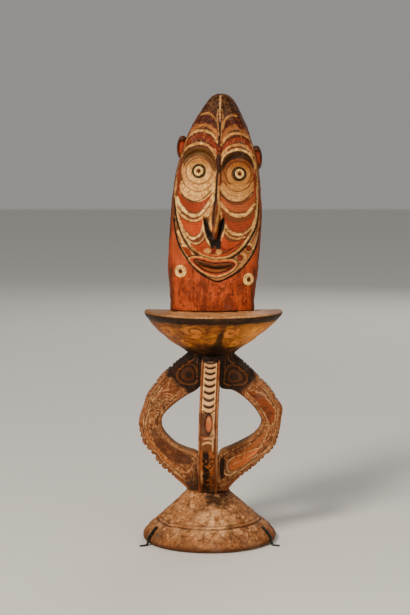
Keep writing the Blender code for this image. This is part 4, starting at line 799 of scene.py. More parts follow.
for side, (ex, ez) in EYES.items():
    m = seat_matrix(ex, ez, 5.2)
    seed = 2 if side == "left" else 9
    outer = 12.0 if side == "left" else 12.6
    seated(f"eye_bed_{side}_ring", [(outer, -1.6), (outer, 1.4), (11.0, 2.5), (10.0, 2.5), (9.2, 1.3), (9.2, -1.6)], m, MAT_RESIN, "black_resin", f"eye_bed_{side}",
           resin_rgb, ease=0.7, lump=0.30, seed=seed, closed=True)
    seated(f"eye_shell_{side}_disc", [(2.7, -1.2), (8.9, -1.2), (8.9, 0.9), (7.4, 1.9), (4.0, 2.2), (2.7, 1.4)], m, MAT_SHELL, "cone_shell", f"eye_shell_{side}",
           shell_rgb, ease=0.5, lump=0.10, seed=seed + 1, closed=True)
    seated(f"pupil_{side}_plug", [(0.05, -1.4), (2.4, -1.4), (2.4, 1.6), (1.5, 2.6), (0.05, 2.8)], m, MAT_DARK, "dark_wood", f"pupil_{side}", pupil_rgb, sides=32, seed=seed + 2)
for side, (ex, ez) in CHEEKS.items():
    m = seat_matrix(ex, ez, 0.0)
    seed = 4 if side == "left" else 12
    seated(f"cheek_shell_{side}_disc", [(3.0, -0.9), (11.4, -0.9), (11.4, 0.7), (10.0, 1.5), (4.0, 1.8), (3.0, 1.0)], m, MAT_SHELL, "cone_shell", f"cheek_shell_{side}",
           shell_rgb, ease=0.5, lump=0.12, seed=seed, closed=True)
    seated(f"cheek_peg_{side}_plug", [(0.05, -1.2), (2.7, -1.2), (2.7, 1.2), (1.8, 2.4), (0.05, 2.7)], m, MAT_DARK, "dark_wood", f"cheek_peg_{side}", pupil_rgb, sides=32, seed=seed + 2)
m = np.array(Matrix.Rotation(math.radians(90), 4, "X"))
m[:3, 3] = (FOREHEAD[0], plane_at(*FOREHEAD, 0.0)[0] - 3.0, FOREHEAD[1])
seated("forehead_boss_knob", [(0.05, -3.0), (5.2, -3.0), (5.2, 2.0), (4.3, 3.9), (2.4, 5.2), (0.05, 5.6)], m, MAT_DARK, "dark_wood", "forehead_boss",
       shade(col(104, 38, 22), (col(44, 20, 12), lambda p, r: smoothstep(3.0, 5.0, r)), (col(150, 70, 44), lambda p, r: 0.6 * smoothstep(0.55, 0.8, noise(p, 2.0, 6)))),
       ease=1.2, lump=0.25, seed=6)

# ------------------------------------------------------------------ ears
EARS = {"left": ((-48.4, 6.0, 706.6), 20.5, -1), "right": ((84.2, 4.0, 688.0), 21.5, 1)}
for side, ((cx, cy, cz), tall, sign) in EARS.items():
    rows, n = 60, 64
    ring = np.linspace(0, 2 * math.pi, n, endpoint=False)
    P, hollow = [], []
    for a in np.linspace(-1, 1, rows):
        h = tall * math.sin(a * math.pi / 2 * 0.985)
        w = math.sqrt(max(0.0, 1 - (h / tall) ** 2))
        x, y = (8.6 * w + 1.2) * np.cos(ring), (6.4 * w + 1.0) * np.sin(ring)
        cup = smoothstep(0.66, 0.40, abs(h) / tall) * smoothstep(0.80, 0.45, np.abs(np.cos(ring))) * (np.sin(ring) < 0)
        y = y + 6.0 * cup
        P.append(np.stack([cx + x - 0.05 * h * sign, cy + y, np.full(n, cz + h)], -1))
        hollow.append(cup)
    P, hollow = np.concatenate(P), np.concatenate(hollow)
    s = Sheet(P[:, 0], P[:, 2], col(58, 30, 20))
    s.wash(0.6 * smoothstep(0.45, 0.7, noise(P, 6.0, 4)), col(92, 46, 28))
    s.wash(smoothstep(0.15, 0.75, hollow) * (0.9 if side == 'left' else 0.45), col(150, 52, 26))
    s.wash(smoothstep(0.10, 0.3, hollow) * smoothstep(0.6, 0.35, hollow), col(30, 14, 9))
    P = P + np.stack([np.zeros(len(P)), (noise(P, 3.5, 9) - 0.5) * 0.9, np.zeros(len(P))], -1)
    faces = grid_faces(rows, n) + [list(range(n))[::-1], [(rows - 1) * n + k for k in range(n)]]
    ob = make_mesh(f"ear_{side}_lug", P, faces, s.rgb)
    ob.data.materials.append(MAT_DARK)
    place(ob, "dark_wood", f"ear_{side}")

# ------------------------------------------------------------------ the cage's lean, shared by its parts
FOOT_TOP_Z, CAGE_X, CAGE_LEAN = 89.6, -2.7, math.radians(1.45)
CAGE = np.array(Matrix.Translation((CAGE_X, 0, FOOT_TOP_Z)) @ Matrix.Rotation(CAGE_LEAN, 4, "Y") @ Matrix.Translation((0, 0, -FOOT_TOP_Z)))


def moved(m, p):
    return p @ np.asarray(m)[:3, :3].T + np.asarray(m)[:3, 3]


# ------------------------------------------------------------------ arms
ARM_W, SPINE_W, SPINE_H = 16.5, 12.4, 2.6
ARM_STATIONS = [
    (35.1, 90.0, 16.8, 90.0), (45.9, 104.4, 16.8, 122.4), (58.5, 116.1, 16.8, 147.6), (72.0, 126.9, 22.5, 161.6),
    (85.5, 138.6, 37.8, 170.6), (98.1, 153.0, 53.1, 180.0), (111.6, 169.2, 67.5, 191.7), (120.6, 187.2, 79.2, 203.4),
    (124.6, 207.0, 84.6, 213.3), (124.9, 225.0, 85.1, 221.4), (124.2, 243.0, 79.2, 231.3), (116.6, 260.1, 69.3, 241.2),
    (104.4, 278.1, 56.7, 252.0), (90.0, 295.2, 41.4, 262.8), (74.7, 310.5, 26.1, 271.8), (59.4, 324.0, 16.8, 284.4),
    (47.7, 333.0, 16.8, 309.6), (40.5, 338.9, 16.8, 338.9),
]
PLAIN = [0.0] * 18
LEFT_SWELL = [0.0, 6.0, 8.0, 8.0, 7.0, 3.5, 5.0, 3.5, 3.0, 0.0, -5.0, -2.5, -2.0, 0.0, 0.0, 0.0, 0.0, 0.0]
RIGHT_SWELL = [0.0, 0.0, 0.0, 0.0, 0.0, 2.0, 4.0, 3.0, 2.5, 4.0, 6.0, 3.0, 3.0, 0.0, 0.0, 0.0, 0.0, 0.0]

# how far the inner edge is moved at each station: outwards, upwards
INNER_AS_IS = [(0.0, 0.0)] * 18
RIGHT_INNER = [(0.0, 0.0)] * 4 + [(3.2, 0.0), (5.4, -0.5), (9.5, -1.0), (9.3, -0.9), (8.4, -0.8), (7.9, 0.0), (8.8, -0.3), (11.2, 0.8), (12.8, 1.5), (14.6, 1.7),
                                  (13.9, 1.7), (0.0, -4.9), (0.0, 0.0), (0.0, 0.0)]
LEFT_INNER = [(0.0, 0.0)] * 3 + [(0.0, -3.0), (2.0, -6.5), (4.0, -8.5), (5.5, -7.2), (4.8, -5.0), (2.0, -3.0)] + [(0.0, 0.0)] * 9


def arm_side(t, q, p, arm, seed):
    """The design on an arm's broad side: t runs up the arm, q from its inner edge to its outer one."""
    along, across = t * 300.0, q * 42.0
    s = Sheet(along, across, col(107, 61, 36), (clouds(p, 6.0, seed, 2) - 0.5) * 2.2)
    s.rub = smoothstep(0.25, 0.6, clouds(p, 5.0, seed + 1))
    s.wash(0.65 * smoothstep(0.45, 0.68, clouds(p, 11.0, seed + 2)), col(140, 84, 56))
    s.wash((0.50 if arm == 'left' else 0.28) * smoothstep(0.54, 0.72, clouds(p, (4, 4, 4), seed + 4)), col(206, 162, 136))
    s.wash(0.8 * smoothstep(0.56, 0.74, clouds(p, (6, 6, 8), seed + 7)), col(62, 32, 18))
    run = np.mod(across + 3.2 * (noise(p, 20, seed + 8) - 0.5), 3.6) - 1.8
    fine = smoothstep(0.75, 0.2, np.abs(run)) * smoothstep(0.44, 0.60, clouds(p, (5, 5, 5), seed + 6)) * smoothstep(0.08, 0.16, t)
    s.wash(0.62 * fine, col(44, 22, 13))
    s.h -= 0.45 * fine
    s.wash((0.45 if arm == 'left' else 0.26) * smoothstep(0.6, 0.15, np.abs(run - 1.2)) * smoothstep(0.48, 0.66, clouds(p, (6, 6, 6), seed + 5)), col(216, 172, 140))
    # fine hatching cut across the face
    hatch = np.abs(np.mod(along * 0.30 + across * 0.22 + 1.3 * noise(p, 12, seed + 9), 1) - 0.5)
    zone = smoothstep(0.50, 0.58, t) * smoothstep(0.76, 0.70, t) if arm == "left" else smoothstep(0.30, 0.36, t) * smoothstep(0.50, 0.45, t)
    cut = smoothstep(0.13, 0.03, hatch) * smoothstep(0.12, 0.2, q) * smoothstep(0.86, 0.78, q)
    s.wash(cut * (0.25 + 0.55 * zone) * smoothstep(0.35, 0.6, clouds(p, 11, seed + 12)), col(66, 34, 22))
    s.h -= 0.5 * cut * zone
    open_wood = smoothstep(0.79, 0.75, t)
    s.stain(smoothstep(0.54, 0.66, clouds(p, (2.6, 2.6, 3.4), seed + 33)) * open_wood * 0.75, (0.52, 0.40, 0.33))
    s.wash(0.42 * smoothstep(0.58, 0.70, clouds(p, (2.4, 2.4, 3.0), seed + 34)) * open_wood, col(212, 166, 136))
    # shadowed and blackened end under the dish, with its ring
    s.wash(smoothstep(0.765, 0.80, t + 0.03 * (clouds(p, 8, seed + 15) - 0.5)) * 0.98, col(24, 10, 2))
    s.wash(smoothstep(0.80, 0.83, t) * 0.5 * smoothstep(0.56, 0.70, clouds(p, (4, 4, 4), seed + 16)), col(72, 36, 12))
    ex, ey = 0.868 * 300, 0.52 * 42
    s.disc(ex, ey, 20.5, col(20, 8, 2), -0.6, squash=0.74, soft=1.2)
    s.ring(ex, ey, 19.6, 1.1, col(138, 78, 26), 0.6, 0.85, squash=0.76)
    s.ring(ex, ey, 17.0, 0.9, col(104, 56, 18), 0.4, 0.75, squash=0.76)
    s.disc(ex, ey, 13.6, col(72, 36, 12), 0.6, squash=0.72, soft=1.8)
    s.ring(ex, ey, 14.8, 1.3, BLACK, -0.9, squash=0.75)
    s.disc(ex, ey, 7.0, col(38, 20, 11), 0.6, squash=0.8, soft=2.5)
    s.line([(ex + 17, 34), (ex + 30, 26), (ex + 46, 22)], 1.4, col(140, 84, 50), 0.4)
    s.line([(ex + 15, 10), (ex + 30, 15), (ex + 46, 16)], 1.3, col(120, 70, 40), 0.4)
    # upper lens
    if arm != "left":
        s.fill([(226, 10), (206, 9), (180, 10), (152, 16), (146, 22), (156, 29), (180, 30), (206, 26), (222, 18)], col(118, 56, 28), -0.6)
        s.wash(smoothstep(0.55, 0.7, clouds(p, 5, seed + 20)) * smoothstep(140, 150, along) * smoothstep(226, 216, along) * 0.7 * smoothstep(5, 12, across) * smoothstep(32, 26, across), col(64, 30, 17))
        s.line([(228, 8), (204, 6.5), (178, 7.5), (150, 13), (142, 22), (154, 32), (182, 33), (208, 29), (226, 19)], 1.5, PINK, 0.5, 0.9)
        s.line([(226, 12), (204, 11), (180, 12), (156, 17)], 0.9, DARK, -0.6)
    else:
        s.wash(0.85 * smoothstep(196, 206, along) * smoothstep(234, 228, along) * smoothstep(6, 12, across) * smoothstep(34, 26, across), col(104, 54, 28))
        s.line([(238, 35), (222, 27), (206, 16), (196, 5)], 1.1, col(196, 150, 122), 0.4, 0.7)
        s.line([(232, 5), (210, 13), (184, 24), (168, 35)], 1.0, col(190, 144, 116), 0.4, 0.6)
        dab = np.abs(np.mod(along * 0.13 + across * 0.09 + 1.6 * noise(p, 9, seed + 17), 1) - 0.5)
        s.wash(smoothstep(0.20, 0.08, dab) * smoothstep(0.40, 0.58, clouds(p, 7, seed + 18)) * smoothstep(136, 150, along) * smoothstep(228, 214, along) * smoothstep(7, 12, across) * smoothstep(36, 30, across) * 0.75, col(196, 138, 110))
        s.line([(226, 10), (204, 8), (176, 9), (148, 13), (128, 15)], 1.2, col(206, 162, 136), 0.5, 0.8)
        s.line([(216, 33), (190, 34), (160, 33), (134, 33)], 1.3, col(206, 164, 140), 0.4, 0.75)
    # lower lenses and the curl at the foot end
    s.line([(130, 17), (112, 21), (92, 27), (70, 33), (52, 36)], 1.5, PINK, 0.5, 0.95)
    if arm != "left":
        s.fill([(126, 9), (112, 10), (92, 12), (66, 14), (52, 17), (74, 24), (98, 20), (116, 16)], col(150, 84, 48), -0.5, 0.85)
        s.fill([(96, 27), (80, 23), (56, 19), (40, 20), (34, 27), (48, 33), (66, 33), (84, 31)], col(188, 102, 62), -0.7)
        s.wash(0.6 * smoothstep(0.48, 0.62, clouds(p, (4, 4, 7), seed + 27)) * smoothstep(34, 44, along) * smoothstep(96, 84, along) * smoothstep(19, 24, across) * smoothstep(34, 30, across), col(112, 52, 26))
        s.line([(88, 30), (66, 26), (46, 24)], 1.3, col(216, 170, 134), 0.3, 0.7)
        s.line([(100, 28), (80, 20), (56, 16), (38, 17), (30, 26), (42, 36), (64, 37), (86, 34)], 1.4, col(220, 176, 148), 0.5)
        s.line([(30, 12), (23, 20), (27, 31), (40, 36)], 2.8, col(222, 178, 150), 0.5)
        s.fill([(40, 4), (26, 4), (14, 10), (16, 18), (30, 14), (44, 10)], col(42, 22, 14), -0.5)
    else:
        s.fill([(132, 15), (108, 9), (74, 7), (44, 10), (36, 17), (54, 28), (88, 30), (116, 24)], col(78, 42, 25), -0.7, 0.95)
        s.wash(0.55 * smoothstep(0.5, 0.66, clouds(p, 5, seed + 23)) * smoothstep(40, 60, along) * smoothstep(130, 110, along) * smoothstep(8, 13, across) * smoothstep(30, 24, across), col(128, 74, 48))
        s.wash(0.7 * smoothstep(30.5, 33, across) * smoothstep(38.5, 36, across) * smoothstep(38, 60, along) * smoothstep(140, 120, along), col(172, 98, 50))
        s.wash(0.85 * smoothstep(26, 8, along), col(34, 18, 11))
        s.line([(34, 10), (26, 18), (28, 28), (40, 34), (58, 37)], 1.4, col(196, 150, 122), 0.4, 0.8)
        s.line([(120, 7), (84, 4), (56, 4), (30, 8)], 1.1, col(196, 150, 122), 0.4, 0.8)
        s.line([(120, 3), (84, 1.5), (56, 1.5), (30, 4)], 0.9, col(180, 130, 100), 0.4, 0.7)
    # contour lines along both edges
    rub = 0.55 + 0.45 * smoothstep(0.35, 0.55, clouds(p, 9, seed + 30))
    fade = smoothstep(0.77, 0.70, t) * smoothstep(0.04, 0.09, t)
    for at, width in ((0.085, 0.8), (0.905, 0.9)):
        m_ = smoothstep(width / 2 + 0.5, width / 2 - 0.4, np.abs(across - at * 42 + s.wob * 0.3))
        s.wash(m_ * rub * fade, col(198, 150, 120))
        s.h += 0.5 * m_ * fade
        g = smoothstep(0.9, 0.2, np.abs(across - (at + (0.045 if at < 0.5 else -0.045)) * 42))
        s.wash(g * fade * 0.8, col(48, 24, 15))
        s.h -= 0.7 * g * fade
    return s


def build_arm(arm, direction, sideways, high, low, swell, inward, seed):
    flat = np.array([[o_r + w, o_z, i_r + dr, i_z + dz] for (o_r, o_z, i_r, i_z), w, (dr, dz) in zip(ARM_STATIONS, swell, inward)])
    fine = smooth_curve(flat, 40)
    fine[:, 2] = np.maximum(fine[:, 2], 16.8)
    fine[:, 1] = np.clip(fine[:, 1], 90.0, 338.9)
    tt = np.linspace(0, 1, len(fine))
    rows = 360
    t = np.linspace(0, 1, rows)
    base = np.stack([np.interp(t, tt, fine[:, c]) for c in range(4)], -1)
    face_like = arm in ("front", "back")
    (n_hi, h_hi), (n_lo, h_lo) = high, low
    span_hi, span_lo = (0.60, 0.93), (0.09, 0.46)
    # ring: name of the strip, share across it; 0 inner edge, 1 side, 2 shoulder, 3 spine flank, 4 crest
    half = [("inner", a) for a in np.linspace(0.0, 1.0, 11)[:-1]] + [("ease", a) for a in np.linspace(0, 1, 4)[:-1]] + [("side", a) for a in np.linspace(0, 1, 30)[:-1]]
    half += [("edge", a) for a in np.linspace(0, 1, 4)[:-1]] + [("shoulder", a) for a in np.linspace(0, 1, 7)[:-1]] + [("flank", a) for a in np.linspace(0, 1, 4)[:-1]]
    half += [("crest", a) for a in np.linspace(0, 1, 9)]
    strips = half + [(k, a) for k, a in half[::-1][1:-1]]
    signs = [1] * len(half) + [-1] * (len(half) - 2)
    cols = len(strips)
    o, i = base[:, :2], base[:, 2:]
    out = o - i
    thick = np.linalg.norm(out, axis=1, keepdims=True)
    out = out / thick
    ends = smoothstep(0.0, 0.03, t) * smoothstep(1.0, 0.97, t)

    def tooth(tv, wv):
        """Height of the spine's crest, and how dark its cuts are."""
        rise, dark = np.zeros_like(tv), np.zeros_like(tv)
        for (a, b), n, h in ((span_hi, n_hi, h_hi), (span_lo, n_lo, h_lo)):
            if not n:
                continue
            bow = 0.55 * (wv ** 2) if face_like else 0.10 * wv ** 2
            ph = (tv - a) / (b - a) * n - bow
            if not face_like:  # cut by eye, so uneven
                ph = ph + 0.17 * np.sin(2.4 * ph + seed) + 0.05 * np.sin(5.1 * ph + 2 * seed)
            f = ph - np.floor(ph)
            on = ((ph > 0) & (ph < n)).astype(float)
            body = smoothstep(0.0, 0.22, f) * smoothstep(1.0, 0.62, f) if not face_like else smoothstep(0.06, 0.36, f) * smoothstep(0.98, 0.66, f)
            rise += on * h * (body - 1.0)
            dark += on * (1 - body)
        return rise, dark

    P = np.zeros((rows, cols, 3))
    kind, share, sgn, q = [], [], [], np.zeros((rows, cols))
    cut = 2.2 * smoothstep(0.13, 0.19, t) * smoothstep(0.87, 0.81, t) + 0.5
    drop = (SPINE_H + 0.4 * h_hi) * (t > 0.5) + (SPINE_H + 0.4 * h_lo) * (t <= 0.5)
    drop = (drop * ends)[:, None]
    shoulder = o - out * drop
    for c, ((k, a), sg) in enumerate(zip(strips, signs)):
        w = None
        if k == "inner":
            pos, w = i, (ARM_W - cut) * a
        elif k == "ease":
            e = a * math.pi / 2
            pos, w = i + out * (cut * (1 - math.cos(e)))[:, None], ARM_W - cut + cut * math.sin(e)
        elif k == "side":
            length = thick[:, 0] - drop[:, 0] - 1.6 - cut
            pos, w = i + out * (cut + length * a)[:, None], np.full(rows, ARM_W)
            q[:, c] = a
        elif k == "edge":
            e = a * math.pi / 2
            pos, w = shoulder - out * (1.6 * (1 - math.sin(e))), np.full(rows, ARM_W - 1.6 * (1 - math.cos(e)))
            q[:, c] = 1
        elif k == "shoulder":
            pos, w = shoulder, np.full(rows, ARM_W - 1.6 - (ARM_W - 1.6 - SPINE_W) * a)
        else:
            wv = np.full(rows, 1.0 - (a if k == "crest" else 0.0))
            rise, _ = tooth(t, wv)
            top = o + out * ((rise + (0.5 * (1 - wv ** 2))) * ends)[:, None]
            if k == "flank":
                pos, w = shoulder + (top - shoulder) * a, np.full(rows, SPINE_W - 0.7 * a)
            else:
                pos, w = top, np.full(rows, (SPINE_W - 0.7) * (1 - a))
        P[:, c, 0], P[:, c, 1], P[:, c, 2] = pos[:, 0], w * sg + sideways * (pos[:, 0] - 16.8), pos[:, 1]
        kind.append(k); share.append(a); sgn.append(sg)
    # the two end rings lie flat on the foot and under the dish
    P[0, :, 2], P[-1, :, 2] = 90.0, 338.9
    kind = np.array(kind)[None].repeat(rows, 0).ravel()
    share = np.array(share)[None].repeat(rows, 0).ravel()
    sgn = np.array(sgn)[None].repeat(rows, 0).ravel()
    T = t[:, None].repeat(cols, 1).ravel()
    q = q.ravel()
    P = P.reshape(-1, 3)
    O = out[:, None].repeat(cols, 1).reshape(-1, 2)
    s = arm_side(T, q, P, arm, seed)
    rgb, h = s.rgb, s.h
    # inner face: dark brown, adzed
    inner = Sheet(T, q, col(104, 58, 34))
    inner.wash(0.8 * smoothstep(0.4, 0.7, clouds(P, (12, 12, 22), seed + 40)), col(74, 40, 24))
    inner.wash(0.5 * smoothstep(0.55, 0.75, clouds(P, 6, seed + 43)), col(150, 96, 62))
    if not face_like:
        inner.wash(smoothstep(0.52, 0.44, T) * (0.45 + 0.4 * smoothstep(0.35, 0.6, clouds(P, 9, seed + 44))) * (1.0 if arm == "right" else 0.6), col(160, 118, 92))
    # the top end under the dish darkened: painted shadow of the dish, with blackening
    inner.wash(smoothstep(0.78, 0.86, T), col(32, 18, 12))
    m_ = np.isin(kind, ["inner", "ease"])
    rgb[m_], h[m_] = inner.rgb[m_], 0
    # shoulders: pale lines at their edge, brown beside the spine
    m_ = np.isin(kind, ["edge", "shoulder"])
    sh = Sheet(T, q, col(112, 60, 38) if face_like else col(104, 58, 38))
    rub = smoothstep(0.30, 0.55, clouds(P, 10, seed + 50))
    sh.wash(np.where(kind == "edge", 0.85, smoothstep(0.45, 0.1, share)) * rub * smoothstep(0.05, 0.3, T) * (0.34 if face_like else 0.32), col(206, 160, 130))
    sh.wash(np.where(kind == "shoulder", smoothstep(0.6, 1.0, share), 0) * 0.8, col(64, 32, 20))
    # the top end under the dish darkened: painted shadow of the dish, with blackening
    sh.wash(smoothstep(0.90, 0.96, T) if face_like else smoothstep(0.765, 0.80, T), col(32, 17, 12))
    rgb[m_], h[m_] = sh.rgb[m_], 0
    # spine
    m_ = np.isin(kind, ["flank", "crest"])
    wv = np.where(kind == "crest", 1 - share, 1.0)
    _, dark = tooth(T, wv)
    sp = Sheet(T, wv, col(150, 92, 64) if face_like else col(116, 66, 44))
    sp.wash((0.8 if face_like else 0.28) * rub, col(190, 140, 112))
    if face_like:
        y = T * 300.0
        sp.wash(smoothstep(0.56, 0.62, T) * (0.55 + 0.45 * rub), col(212, 168, 140))
        sp.wash(np.clip(dark * 1.5, 0, 1) * smoothstep(0.95, 0.78, wv), col(40, 20, 14))
        sp.wash(smoothstep(0.80, 0.90, wv) * smoothstep(0.45, 0.5, T) * rub, col(232, 194, 166))
        sp.wash(smoothstep(0.88, 0.95, wv) * smoothstep(0.45, 0.5, T) * 0.85, col(112, 62, 36))
        # the red oval, outlined
        d = np.hypot((T - 0.543) / 0.060, (wv * sgn - 0.10) / 0.58)
        side_w = wv * sgn
        sp.wash(((T > 0.468) & (T < 0.606)) * (0.9 - 0.5 * smoothstep(0.5, 0.8, side_w)), col(66, 34, 20))
        sp.wash(smoothstep(1.30, 1.20, d) * smoothstep(0.2, 0.6, side_w) * 0.7, col(214, 168, 138))
        sp.wash(smoothstep(1.14, 1.02, d), col(46, 23, 14))
        sp.wash(smoothstep(0.86, 0.70, d), col(134, 60, 34))
        # pale middle of the red oval, strongest at its top: painted highlight
        sp.wash(smoothstep(0.80, 0.50, d) * (0.35 + 0.65 * smoothstep(0.53, 0.59, T)) * 0.85, col(204, 140, 108))
        # arcs under it
        under = smoothstep(0.470, 0.458, T) * smoothstep(0.35, 0.38, T)
        sp.wash(under * 0.92, col(92, 52, 30))
        sp.wash(under * smoothstep(0.10, 0.03, np.abs(side_w - 0.74)) * 0.9, col(226, 186, 158))
        d = np.abs((T - 0.448) / 0.008 - 1.6 * (1 - wv ** 2))
        sp.wash(smoothstep(0.7, 0.3, d) * smoothstep(0.8, 0.5, wv) * 0.6, col(206, 160, 132))
        d = np.abs((T - 0.424) / 0.010 - 1.6 * (1 - wv ** 2))
        sp.wash(smoothstep(0.8, 0.35, d) * smoothstep(0.95, 0.7, wv) * 0.8, col(206, 160, 132))
        # dark stripes down to the foot, deepened by painted shade where the arm's lower half faces downward
        low_ = smoothstep(0.41, 0.37, T)
        sp.wash(low_ * 0.9, col(150, 80, 36))
        sp.wash(low_ * 0.8 * smoothstep(0.44, 0.56, clouds(P, (4, 4, 7), seed + 57)) * smoothstep(-0.5, 0.1, side_w), col(50, 24, 10))
        # pale strip on the left edge low down: painted light from the left
        sp.wash(low_ * smoothstep(-0.62, -0.78, side_w) * smoothstep(0.06, 0.12, T) * smoothstep(0.26, 0.2, T) * 0.8, col(196, 146, 118))
        stripe = smoothstep(0.56, 0.38, np.abs(side_w + 0.24 + 0.26 * (noise(P, 9, 77) - 0.5)))
        sp.wash(low_ * stripe * smoothstep(0.25, 0.45, clouds(P, (5, 5, 12), seed + 55)), col(22, 12, 7))
        # the bottom end darkened: painted shadow at the foot
        sp.wash(0.8 * smoothstep(0.16, 0.02, T), col(34, 19, 11))
        h = h.copy()
        h[m_] = (-0.8 * low_ * stripe)[m_]
    else:
        sp.wash(np.clip(dark * 1.2, 0, 1) * (0.4 + 0.5 * smoothstep(0.45, 0.65, clouds(P, 9, seed + 58))), col(60, 31, 20))
        h[m_] = 0
    # the top end under the dish darkened: painted shadow of the dish, with blackening
    sp.wash(smoothstep(0.885, 0.915, T) if face_like else 0.95 * smoothstep(0.78, 0.82, T), col(24, 13, 9))
    rgb[m_] = sp.rgb[m_]
    # the drawing's relief with lumps and tool facets over it, fading out at both ends;
    # soot and shade close to the dish
    lump = (clouds(P, 7.0, seed + 60) - 0.5) * 0.9 + (facets(P, (14, 14, 16), seed) - 0.5) * 0.7
    lift = h + lump * np.where(kind == "side", 0.8, 0.5)
    edge = smoothstep(0.0, 0.02, T) * smoothstep(1.0, 0.98, T)
    lift *= edge
    sidey = np.isin(kind, ["side", "ease"])
    P[:, 1] += np.where(sidey, sgn * np.minimum(lift, 0.45), 0)
    radial = np.where(sidey, 0, np.where(kind == "inner", -1, 1)) * np.minimum(lift, 0.6)
    near_post = (kind == "inner") & (P[:, 0] < 20)
    radial = np.where(near_post, 0, radial)
    P[:, 0] += O[:, 0] * radial
    P[:, 2] += O[:, 1] * radial
    P[:, 1] = np.where(P[:, 0] < 40, np.clip(P[:, 1], -ARM_W + sideways * (P[:, 0] - 16.8), ARM_W + sideways * (P[:, 0] - 16.8)), P[:, 1])
    turn = np.array(Matrix.Rotation(math.radians(direction), 4, "Z"))
    P = moved(CAGE @ turn, P)
    faces = grid_faces(rows, cols, flip=True) + [list(range(cols)), [(rows - 1) * cols + k for k in range(cols)][::-1]]
    ob = make_mesh(f"arm_{arm}_carved", P, faces, rgb, 0.35 * smoothstep(0.6, 0.8, clouds(P, 26, seed + 70)), sharp=62)
    ob.data.materials.append(MAT_ARM)
    place(ob, "carved_wood", f"arm_{arm}")


build_arm("front", -90.0, -0.0314, (9, 2.2), (0, 0.8), PLAIN, INNER_AS_IS, 100)
build_arm("right", 0.0, 0.0, (14, 3.4), (12, 2.4), RIGHT_SWELL, RIGHT_INNER, 200)
build_arm("back", 90.0, 0.0, (9, 2.2), (0, 0.8), PLAIN, INNER_AS_IS, 300)
build_arm("left", 180.0, 0.0, (14, 3.4), (10, 4.2), LEFT_SWELL, LEFT_INNER, 400)


# ------------------------------------------------------------------ dish and foot
def spiral(du, dv, size, turns=1.6, hand=1):
    """1 on the line of a volute about the origin of (du, dv)."""
    r = np.hypot(du, dv) / size
    a = np.arctan2(dv, du * hand) / (2 * math.pi)
    ph = np.mod(r * turns - a, 1.0)
    return smoothstep(0.17, 0.05, np.abs(ph - 0.5)) * smoothstep(1.05, 0.92, r)


def lathe_rows(profile, step):
    return rounded(profile, step, 1.6)


def post(name, low, high, material, slot, node, rgb, seed):
    """The square post that the arms are set against."""
    rows, side = 60, 12
    zs = np.linspace(low, high, rows)
    line = np.linspace(-1, 1, side + 1)[:-1]
    ring = [(-1 + 2 * k / side, -1) for k in range(side)] + [(1, -1 + 2 * k / side) for k in range(side)]
    ring += [(1 - 2 * k / side, 1) for k in range(side)] + [(-1, 1 - 2 * k / side) for k in range(side)]
    ring = np.array(ring) * 16.4
    P = np.concatenate([np.concatenate([ring, np.full((len(ring), 1), z)], 1) for z in zs])
    return P, grid_faces(rows, len(ring)) + [list(range(len(ring)))[::-1], [(rows - 1) * len(ring) + k for k in range(len(ring))]]


def join(parts):
    """One mesh from several (points, faces, colours)."""
    P, F, C, off = [], [], [], 0
    for p, f, c in parts:
        P.append(p); C.append(c); F += [[i + off for i in q] for q in f]; off += len(p)
    return np.concatenate(P), F, np.concatenate(C)


DISH_PROFILE = [
    (0.05, 415.2), (60.0, 415.4), (104.0, 415.9), (116.0, 416.6), (121.0, 416.6), (124.4, 413.6), (122.0, 407.4), (115.6, 398.8), (107.2, 389.8),
    (97.8, 380.8), (87.4, 371.8), (75.8, 362.8), (62.4, 353.6), (49.4, 344.6), (41.4, 339.3), (0.05, 339.3),
]
FOOT_PROFILE = [
    (0.05, 0.0), (111.6, 0.0), (117.6, 1.6), (120.8, 5.2), (120.4, 9.9), (117.0, 15.6), (109.8, 23.8), (98.2, 34.0), (86.0, 44.1),
    (74.6, 54.2), (63.6, 64.3), (51.4, 75.5), (42.0, 84.6), (38.7, 89.6), (0.05, 89.6),
]


def lathe(profile, sides, step, ease):
    prof = rounded(profile, step, ease)
    run = np.concatenate([[0], np.cumsum(np.hypot(*np.diff(prof, axis=0).T))])
    a = np.linspace(0, 2 * math.pi, sides, endpoint=False)
    R, A = np.meshgrid(prof[:, 0], a, indexing="ij")
    Zm = prof[:, 1][:, None].repeat(sides, 1)
    S = run[:, None].repeat(sides, 1)
    return R.ravel(), A.ravel(), Zm.ravel(), S.ravel(), len(prof)


def top_fall(y, z):
    fall = np.where(y > 9.0, -0.095 * (y - 9.0), 0.020 * (y - 9.0))
    return fall * smoothstep(372.0, 412.0, z)


